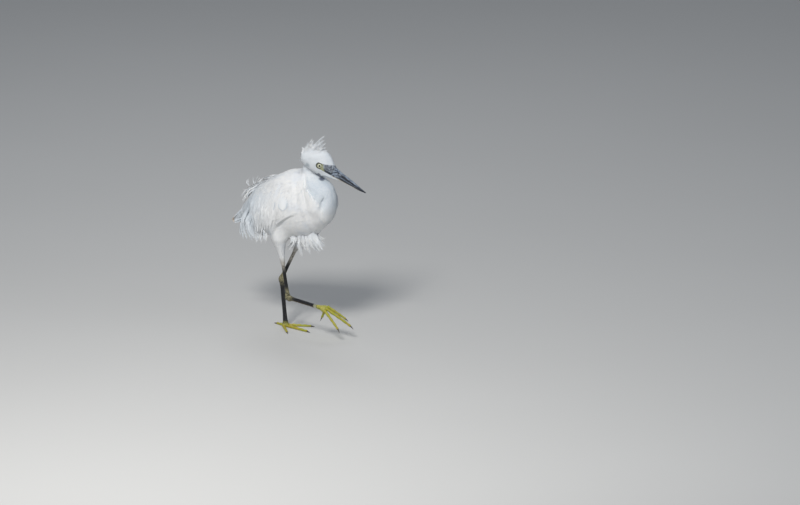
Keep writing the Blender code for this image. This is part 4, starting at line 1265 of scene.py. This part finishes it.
class Value:
    """A shader socket that takes part in sums as a number does."""

    def __init__(self, finish, link):
        self.finish, self.link = finish, link

    def math(self, operation, *others):
        """A Math node on this value and the others."""
        return self.finish.node("Math", {"operation": operation}, dict(enumerate((self, *others))))

    def __add__(self, other):
        return self.math("ADD", other)

    def __sub__(self, other):
        return self.math("SUBTRACT", other)

    def __mul__(self, other):
        return self.math("MULTIPLY", other)

    def __truediv__(self, other):
        return self.math("DIVIDE", other)

    def __rsub__(self, other):
        return self.finish.node("Math", {"operation": "SUBTRACT"}, {0: other, 1: self})

    __radd__ = __add__
    __rmul__ = __mul__

    def rise(self, low, high):
        """0 below low, 1 above high, smooth between."""
        smooth = {"interpolation_type": "SMOOTHSTEP"}
        return self.finish.node("MapRange", smooth, {0: self, 1: low, 2: high})


class Finish:
    """A material under a plain name, whose nodes are added by one method."""

    def __init__(self, name, **plain):
        self.material = bpy.data.materials.new(name)
        self.material.use_nodes = True
        self.tree = self.material.node_tree
        self.shader = self.tree.nodes["Principled BSDF"]
        for socket, value in plain.items():
            self.shader.inputs[socket.replace("_", " ")].default_value = value

    def node(self, kind, settings=None, values=None, output=0):
        """A node of this kind: settings first, then values or links of its sockets."""
        made = self.tree.nodes.new("ShaderNode" + kind)
        for key, value in (settings or {}).items():
            setattr(made, key, value)
        for key, value in (values or {}).items():
            if isinstance(value, Value):
                self.tree.links.new(value.link, made.inputs[key])
            else:
                made.inputs[key].default_value = value
        return Value(self, made.outputs[output])

    def place(self):
        """Object coordinates, in metres."""
        return self.node("TexCoord", output="Object")

    def value_of(self, name):
        """The mesh's own number of this name."""
        return self.node("Attribute", {"attribute_name": name}, output="Fac")

    def vector(self, operation, first, second, output="Value"):
        """A Vector Math node, whose second vector is plain numbers."""
        return self.node("VectorMath", {"operation": operation}, {0: first, 1: tuple(second)}, output)

    def map_parts(self, name):
        """The two numbers of a UV map: across or round a piece, and along it."""
        parts = self.node("SeparateXYZ", {}, {0: self.node("UVMap", {"uv_map": name})})
        return parts, Value(self, parts.link.node.outputs[1])

    def along(self, point, axis):
        """How far, in millimetres, a place lies from a point along an axis."""
        shifted = self.vector("SUBTRACT", self.place(), np.asarray(point) * MM, 0)
        return self.vector("DOT_PRODUCT", shifted, np.asarray(axis) / MM)

    def noise(self, size, detail=3.0, rough=0.55, where=None):
        """Cloudy noise from 0 to 1 with spots about size millimetres across."""
        values = {"Vector": where or self.place(), "Scale": 1 / (size * MM)}
        return self.node("TexNoise", {}, {**values, "Detail": detail, "Roughness": rough})

    def scales(self, size):
        """How far a place lies inside its scale, for scales about size millimetres across."""
        values = {"Vector": self.place(), "Scale": 1 / (size * MM)}
        return self.node("TexVoronoi", {"feature": "DISTANCE_TO_EDGE"}, values)

    def from_eyes(self):
        """How far forward of the eyes and above them on the head, in millimetres."""
        return self.along(EYES_POINT, HEAD_AXES[0]), self.along(EYES_POINT, HEAD_AXES[2])

    def head_place(self, stretch=1.0):
        """Place on the head in metres: forward, drawn out by stretch, then left and up."""
        forward, left, up = (self.along(EYES_POINT, axis) for axis in HEAD_AXES)
        parts = (forward * (MM / stretch), left * MM, up * MM)
        return self.node("CombineXYZ", {}, dict(enumerate(parts)))

    def near(self, point, inner, outer):
        """1 within inner millimetres of a point, 0 beyond outer."""
        apart = self.vector("DISTANCE", self.place(), np.asarray(point) * MM)
        return 1 - apart.rise(inner * MM, outer * MM)

    def mix(self, factor, first, second):
        """Colour that goes from first to second."""
        values = {0: factor, 6: first, 7: second}
        return self.node("Mix", {"data_type": "RGBA"}, values, 2)

    def bump(self, height, distance, strength=1.0):
        """Connects a bump of this height, in millimetres at its highest."""
        values = {"Height": height, "Distance": distance * MM, "Strength": strength}
        normal = self.node("Bump", {}, values, "Normal")
        self.tree.links.new(normal.link, self.shader.inputs["Normal"])

    def paint(self, **links):
        """Connects values to the shader's sockets."""
        for socket, value in links.items():
            self.tree.links.new(value.link, self.shader.inputs[socket.replace("_", " ")])


def colour(red, green, blue):
    """An opaque colour."""
    return (red, green, blue, 1.0)


WHITE = colour(0.91, 0.91, 0.90)
COOL_WHITE = colour(0.80, 0.84, 0.89)
# Painted shade: towards feather roots and along their edges, and the cool shade that meshes carry.
FEATHER_SHADE = colour(0.74, 0.78, 0.83)
SHADE = colour(0.62, 0.69, 0.755)
CREASE_SHADE = colour(0.36, 0.43, 0.48)
HOLLOW_SHADOW = colour(0.07, 0.09, 0.15)
# How light goes into feathers.
SOFT = {"Subsurface_Radius": (0.004, 0.004, 0.004), "Subsurface_Scale": 1.0}
# Painted shade in the head's frame, grey in the creases behind the cheek and a dark shadow in the hollow
# under the jaw: place, side, height, inner and outer reach, colour.
PAINTED_SHADE_SPOTS = (
    (-22.5, 17, -14.5, 2.0, 8.5, CREASE_SHADE), (-20, 14, -26, 2.5, 9.0, CREASE_SHADE), (8, 8.5, -21.5, 2.0, 6.0, HOLLOW_SHADOW),
    (17, 3, -25.5, 4.0, 8.5, HOLLOW_SHADOW),
)


def shade_marks(made, base):
    """Painted shade: grey in the creases behind the cheek, and a dark shadow in the hollow between jaw and
    neck, on both sides.
    """
    for across in (-1, 1):
        for place, side, up, inner, outer, tone in PAINTED_SHADE_SPOTS:
            spot = made.near(in_head((place, side * across, up)), inner, outer)
            spot = spot * (made.noise(9.0) * 0.5 + 0.5)
            base = made.mix(spot, base, tone)
    return base


def leg_stain(made, base):
    """The lowest leg feathers take on the tan grey of the bare leg."""
    for side in SIDES:
        _, feathered, _, _ = leg_line(side)
        base = made.mix(made.near(feathered, 3, 20) * 0.75, base, colour(0.40, 0.37, 0.31))
    return base


def plumage_finish():
    """White feathers: cooler at the root and the edges, warm white at the tip, with fine barbs. The grey at
    root and edges is partly the feathers' own tone and partly painted shade, and the painted shade that each
    mesh carries is lighter at the tips.

    The ends of the tail feathers are stained tan.
    """
    made = Finish("plumage", Roughness=0.75, Subsurface_Weight=0.12, Specular_IOR_Level=0.25, **SOFT)
    across, along = made.map_parts("vane")
    off = (across - 0.5).math("ABSOLUTE")
    cool = made.mix(made.noise(40).rise(0.2, 0.55), COOL_WHITE, WHITE)
    # Painted shade towards each feather's root, and a little by chance.
    lit = made.mix(along.rise(0.05, 0.6) * 0.7 + made.value_of("tint") * 0.3, FEATHER_SHADE, cool)
    barb = (off * 34 + along * 150).math("SINE") * 0.5 + 0.5
    # Painted shade along each feather's edges, and darker barbs.
    lit = made.mix(off.rise(0.30, 0.5) * 0.2 + barb * 0.12, lit, FEATHER_SHADE)
    # Painted shade that the mesh carries, less towards the tips, then the painted cheek and jaw shade.
    shade = made.value_of("shade") * (1 - along.rise(0.45, 1.0) * 0.35)
    lit = shade_marks(made, made.mix(shade, lit, SHADE))
    lit = leg_stain(made, lit)
    tail = made.along((-157, MIDLINE, 210), (0.87, 0, 0.5))
    stain = (1 - tail.rise(3, 20)) * made.noise(4.0).rise(0.1, 0.5)
    made.paint(Base_Color=made.mix(stain, lit, colour(0.62, 0.46, 0.28)))
    made.bump(barb, 0.05, 0.4)
    return made.material


def plume_finish():
    """Loose thin strands, cooler than the laid coat, and with more light in them. Their blue-grey, in some
    strands and towards every root, is painted shade.
    """
    made = Finish("plumes", Roughness=0.6, Subsurface_Weight=0.2, **SOFT)
    _, along = made.map_parts("vane")
    base = made.mix(made.value_of("tint"), colour(0.76, 0.82, 0.88), WHITE)
    # Painted shade: blue-grey towards each root.
    made.paint(Base_Color=made.mix(along.rise(0.1, 0.5), colour(0.78, 0.82, 0.86), base))
    return made.material


OLIVE = colour(0.24, 0.25, 0.13)
PALE_OLIVE = colour(0.46, 0.48, 0.30)
LORE_DARK = colour(0.055, 0.065, 0.085)
LORE_GREY = colour(0.15, 0.17, 0.20)
LORE_PALE = colour(0.46, 0.53, 0.60)


def eye_distance(made):
    """Distance in millimetres from the line through both eyes."""
    place, up = made.from_eyes()
    return (place * place + up * up).math("SQRT")


def face_colour(made, feathered):
    """Colour of the bare face by its place on the head.

    Olive yellow lies before and under the eye and grey mottled with pale blue from there to the bill,
    over a dark band along the mouth. A thin dark line runs round the eye.
    """
    place, up = made.from_eyes()
    spots = made.noise(2.6, 3.0, 0.6, made.head_place(1.9))
    grey = made.mix(spots.rise(0.36, 0.50), LORE_DARK, LORE_GREY)
    grey = made.mix(spots.rise(0.55, 0.66), grey, LORE_PALE)
    mouth = (up + 2.2 + (spots - 0.5) * 3).rise(-1.4, 0.6)
    grey = made.mix(mouth, colour(0.025, 0.032, 0.045), grey)
    olive = made.mix(made.noise(1.8, 4.0).rise(0.35, 0.7), OLIVE, PALE_OLIVE)
    near_eye = 1 - (place + (up + 2) * 0.7 + made.noise(4.0, 4.0) * 9).rise(13.5, 20)
    bare = made.mix(near_eye, grey, olive)
    low = up + 7.0 + (place - 8) * 0.06
    brow = (place + 2) * 0.30 + 5 - up
    brow = brow.math("MAXIMUM", (place - 26) * 100)
    wedge = place.rise(0, 3) * low.rise(-0.6, 0.6) * brow.rise(-0.6, 0.6)
    far = eye_distance(made)
    face = made.mix(wedge.math("MAXIMUM", 1 - far.rise(6.6, 7.4)), feathered, bare)
    line = (1 - far.rise(6.9, 7.7)) * (1 - place.rise(2.5, 5.5) * 0.8)
    return made.mix(line, face, colour(0.06, 0.065, 0.04))


def skin_finish():
    """Skin under the coat, white with painted cool shade and painted shade behind the cheek and under the
    jaw, and the bare face.
    """
    made = Finish("skin", Roughness=0.6)
    # Painted cool shade, from the mesh's shade.
    white = made.mix(made.value_of("shade"), made.mix(made.noise(20), COOL_WHITE, WHITE), SHADE)
    feathered = leg_stain(made, shade_marks(made, white))
    made.paint(Base_Color=face_colour(made, feathered))
    made.bump(made.noise(1.3, 3.0), 0.35, 0.6)
    return made.material


def horn_finish():
    """Bill horn: two dark bands along it with pale streaks over and between them, and a cream edge. The pale
    streak along the ridge is a painted highlight, and the pale patches at the base are partly wear and partly
    painted highlight.

    share runs from the lower edge to the ridge, whose heights fall nearly evenly along the bill.
    """
    made = Finish("bill_horn", Roughness=0.32, Coat_Weight=0.1, Coat_Roughness=0.2)
    place, up = made.from_eyes()
    chin = (place - 32) * 0.115 - 13.6
    ridge = 10.8 - (place - 32) * 0.155
    streak = made.noise(2.6, 3.0, 0.6, made.head_place(4.0))
    spots = made.noise(2.6, 3.0, 0.6, made.head_place(1.9))
    share = (up - chin) / (ridge - chin) + (streak - 0.5) * 0.16
    base = 1 - place.rise(38, 58)
    tip = place.rise(84, 112)
    dark = made.mix(streak.rise(0.45, 0.65), colour(0.006, 0.008, 0.014), colour(0.018, 0.024, 0.038))
    pale = made.mix(spots.rise(0.4, 0.6), colour(0.06, 0.085, 0.125), colour(0.26, 0.31, 0.38))
    # Painted highlight along the ridge.
    top = share.rise(0.78, 0.90) * (1 - tip)
    line = share.rise(0.43, 0.49) * (1 - share.rise(0.52, 0.58)) * (1 - place.rise(80, 106))
    # Pale patches at the base: partly wear, partly painted highlight.
    patch = (spots + base * 0.14).rise(0.56, 0.64) * (base * 0.9 + 0.1)
    body = made.mix(top.math("MAXIMUM", line).math("MAXIMUM", patch), dark, pale)
    cream = (1 - share.rise(0.14, 0.26)) * (1 - place.rise(74, 104))
    made.paint(Base_Color=made.mix(cream, body, colour(0.70, 0.66, 0.57)))
    made.paint(Roughness=0.24 + spots * 0.25)
    made.bump(made.noise(1.6, 4.0) * 0.4 + streak * 0.6, 0.22, 0.5)
    return made.material


def lid_finish():
    """The lid's rim: pale olive, with painted shade in its folds where its bump is low, and nearly black
    round its outside.
    """
    made = Finish("lids", Roughness=0.5)
    spots = made.noise(1.2, 3.0)
    # Painted shade in the folds: dark where the same noise makes the bump low.
    pale = made.mix(spots.rise(0.3, 0.6), colour(0.07, 0.075, 0.04), colour(0.30, 0.31, 0.19))
    made.paint(Base_Color=made.mix(eye_distance(made).rise(5.0, 5.7), pale, colour(0.030, 0.032, 0.020)))
    made.bump(spots, 0.2, 0.6)
    return made.material


def eye_finish():
    """Pale yellow iris with fine rays and a dark edge, and a round black pupil under clear cornea."""
    made = Finish("eye", Roughness=0.12, Coat_Weight=1.0, Coat_Roughness=0.02)
    turn, polar = made.map_parts("around")
    rays = (turn * 240 * math.pi).math("SINE") * 0.5 + 0.5
    iris = made.mix(rays * 0.4 + made.noise(1.0) * 0.5, colour(0.50, 0.51, 0.34), colour(0.68, 0.70, 0.56))
    iris = made.mix(polar.rise(0.27, 0.31), iris, colour(0.16, 0.15, 0.06))
    made.paint(Base_Color=made.mix(polar.rise(0.106, 0.113), colour(0.004, 0.004, 0.004), iris))
    return made.material


def leg_finish():
    """Leg scales.

    The shank goes from pale tan under the feathers to blue-black.
    Ankles are olive and tan, the underside of the lifted foot's tarsus is brown, and it ends in a
    pale knob and a yellow foot.
    """
    made = Finish("leg_scales", Roughness=0.42, Specular_IOR_Level=0.3)
    cells = made.scales(1.9)
    patches = made.noise(7, 3.0)
    fine = made.noise(3.0, 3.0)
    body = made.mix(fine.rise(0.4, 0.7), colour(0.006, 0.007, 0.011), colour(0.020, 0.021, 0.025))
    tan = made.mix(fine.rise(0.35, 0.6), colour(0.10, 0.095, 0.05), colour(0.36, 0.33, 0.20))
    grey = made.mix(fine.rise(0.3, 0.6), colour(0.14, 0.13, 0.10), colour(0.50, 0.47, 0.42))
    _, _, lifted_ankle, lifted_ball = leg_line(LIFTED)
    long, middle = unit(lifted_ball - lifted_ankle), (lifted_ankle + lifted_ball) / 2
    under = unit(np.cross(long, np.cross(long, (0, 0, 1.0))))
    low = made.along(middle, under).rise(0.5, 3.5) * made.near(middle, 44, 56)
    body = made.mix(low * 0.85, body, colour(0.17, 0.10, 0.045))
    for side in SIDES:
        knee, feathered, ankle, _ = leg_line(side)
        joint = made.near(ankle + (0, 0, 5), 6, 24) * patches.rise(0.30, 0.5)
        body = made.mix(joint, body, tan)
        down = made.along(feathered, unit(ankle - knee))
        body = made.mix((1 - (down + fine * 14 - 7).rise(0, 20)) * down.rise(-12, -11), body, grey)
    knob = made.near(lifted_ball - long * 25, 3.5, 7.5)
    foot = made.along(lifted_ball, long).rise(-25, -17) * made.near(lifted_ball, 30, 34)
    yellow = made.mix(patches.rise(0.3, 0.6), colour(0.36, 0.38, 0.06), colour(0.48, 0.45, 0.10))
    body = made.mix(foot, body, yellow)
    body = made.mix(knob * fine.rise(0.25, 0.5), body, colour(0.66, 0.68, 0.48))
    toes = made.near(BALL[STANDING], 9, 16)
    body = made.mix(toes * patches.rise(0.3, 0.5), body, colour(0.46, 0.45, 0.12))
    made.paint(Base_Color=made.mix(cells.rise(0.0, 0.10) * 0.7 + 0.3, colour(0.02, 0.018, 0.012), body))
    made.bump(cells.rise(0.0, 0.18), 0.25, 0.7)
    return made.material


def toe_finish():
    """Toe scales: lime yellow, ochre in patches, darker between the plates."""
    made = Finish("toe_scales", Roughness=0.42)
    cells = made.scales(1.5)
    patches = made.noise(11, 3.0)
    body = made.mix(patches.rise(0.35, 0.7), colour(0.38, 0.40, 0.03), colour(0.46, 0.35, 0.04))
    body = made.mix(made.noise(3, 4.0).rise(0.55, 0.75) * 0.6, body, colour(0.24, 0.21, 0.05))
    made.paint(Base_Color=made.mix(cells.rise(0.0, 0.09) * 0.6 + 0.4, colour(0.16, 0.15, 0.04), body))
    made.bump(cells.rise(0.0, 0.2), 0.18, 0.6)
    return made.material


def claw_finish():
    """Dark glossy claw horn with faint lengthwise streaks."""
    made = Finish("claw_horn", Roughness=0.3)
    streak = made.noise(2.5, 3.0)
    made.paint(Base_Color=made.mix(streak, colour(0.03, 0.026, 0.02), colour(0.13, 0.11, 0.09)))
    made.bump(streak, 0.1, 0.4)
    return made.material


def floor_finish():
    """Plain pale floor."""
    made = Finish("floor", Roughness=0.85)
    made.paint(Base_Color=made.mix(made.noise(900, 2.0), colour(0.55, 0.55, 0.54), colour(0.58, 0.58, 0.57)))
    return made.material


VIEW_AZIMUTH = math.radians(44)
VIEW_ELEVATION = math.radians(15)
PHOTO_WIDTH = 800
MM_PER_PIXEL = 2.15
# Middle of the picture, in millimetres right of the origin and above it.
MIDDLE_RIGHT = 246.2
MIDDLE_UP = 159.1
LENS = 400.0
SENSOR = 36.0
# Lights: degrees left of the camera, degrees up, metres off, metres across, watts, colour.
LIGHTS = {
    "key": (16, 42, 2.6, 0.6, 54, (1.0, 0.98, 0.95)),
    "fill": (-60, 25, 3.2, 2.2, 9, (0.86, 0.92, 1.0)),
    "rim": (175, 50, 2.8, 1.2, 12, (0.95, 0.97, 1.0)),
}
# What the lights are aimed at, in metres.
AIM = np.array((0.02, 0, 0.25))
FLOOR_REACH = 60000.0


def seen_from(azimuth, elevation):
    """The way from the bird towards a viewer, by angles from its right side and above the level."""
    level = math.cos(elevation)
    return np.array((math.sin(azimuth) * level, -math.cos(azimuth) * level, math.sin(elevation)))


def make_camera():
    """The camera at the photo's angle, far off as through a long lens."""
    back = seen_from(VIEW_AZIMUTH, VIEW_ELEVATION)
    right = np.array((math.cos(VIEW_AZIMUTH), math.sin(VIEW_AZIMUTH), 0))
    up = np.cross(back, right)
    data = bpy.data.cameras.new("camera")
    data.lens, data.sensor_width = LENS, SENSOR
    distance = PHOTO_WIDTH * MM_PER_PIXEL * LENS / SENSOR
    target = right * MIDDLE_RIGHT + up * MIDDLE_UP
    data.clip_start, data.clip_end = 0.1, 200
    camera = bpy.data.objects.new("camera", data)
    bpy.context.scene.collection.objects.link(camera)
    camera.location = (target + back * distance) * MM
    camera.rotation_euler = Vector(-back).to_track_quat("-Z", "Y").to_euler()
    bpy.context.scene.camera = camera


def make_light(name, turn, rise, distance, size, power, tone):
    """An area light aimed at the bird."""
    way = seen_from(VIEW_AZIMUTH - math.radians(turn), math.radians(rise))
    data = bpy.data.lights.new(name, "AREA")
    data.size, data.energy, data.color = size, power, tone
    lamp = bpy.data.objects.new(name, data)
    bpy.context.scene.collection.objects.link(lamp)
    lamp.location = AIM + way * distance
    lamp.rotation_euler = Vector(-way).to_track_quat("-Z", "Y").to_euler()


def make_stage():
    """Floor, lights, and an even soft surrounding."""
    corners = FLOOR_REACH * np.array([(-1.0, -1, 0), (1, -1, 0), (1, 1, 0), (-1, 1, 0)])
    floor = put_mesh("floor", corners, np.array([[0, 1, 2, 3]]), floor_finish())
    for name, values in LIGHTS.items():
        make_light(name, *values)
    world = bpy.data.worlds.new("surrounding")
    bpy.context.scene.world = world
    world.use_nodes = True
    glow = world.node_tree.nodes["Background"]
    glow.inputs["Color"].default_value = colour(0.80, 0.86, 0.95)
    glow.inputs["Strength"].default_value = 0.29


def ride(pieces, replaced=()):
    """Puts pieces on the body and the nodes that they stand for."""
    for piece in pieces:
        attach(piece, "root")
        if replaced:
            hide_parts(*replaced)


def dress_head():
    """Bill, eyes and lids."""
    horn = horn_finish()
    for half in ("upper", "lower"):
        ride([make_bill(half, horn)], [f"bill_{half}"])
    eye, lid = eye_finish(), lid_finish()
    for side in SIDES:
        ride([make_eye(side, eye)], [f"eye_{side}"])
        ride([make_lid(side, lid)])


def dress_legs():
    """Legs, toes and claws."""
    leg, toe_material, claw = leg_finish(), toe_finish(), claw_finish()
    for side in SIDES:
        for made, node in zip(make_leg(side, leg), (f"shank_{side}", f"tarsus_{side}")):
            ride([tube_mesh(*made)], [node])
        for toe in TOE_LENGTH:
            toe_made, claw_made = make_toe(side, toe, toe_material, claw)
            ride([tube_mesh(*toe_made)], [f"toe_{side}_{toe}"])
            ride([tube_mesh(*claw_made)], [f"claw_{side}_{toe}"])


def dress_body(rng):
    """Skin, laid coat and loose feathers."""
    skin = make_skin(skin_finish())
    nodes = ["head", "neck_upper", "neck_lower", "torso", "tail"]
    nodes += [f"{part}_{side}" for part in ("wing", "thigh") for side in SIDES]
    ride([skin], nodes)
    plumage, plume = plumage_finish(), plume_finish()
    ride(body_coat(skin, plumage, rng))
    ride([long_feathers(side, plumage, rng) for side in SIDES])
    ride([make_tail(plumage, rng)])
    ride([make_crest(plume, rng), make_fringe(plume, rng), make_plumes(plume, rng)])


def build():
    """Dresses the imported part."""
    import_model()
    rng = np.random.default_rng(SEED)
    make_camera()
    make_stage()
    dress_body(rng)
    dress_head()
    dress_legs()


bpy.context.scene.view_settings.view_transform = "Standard"
build()
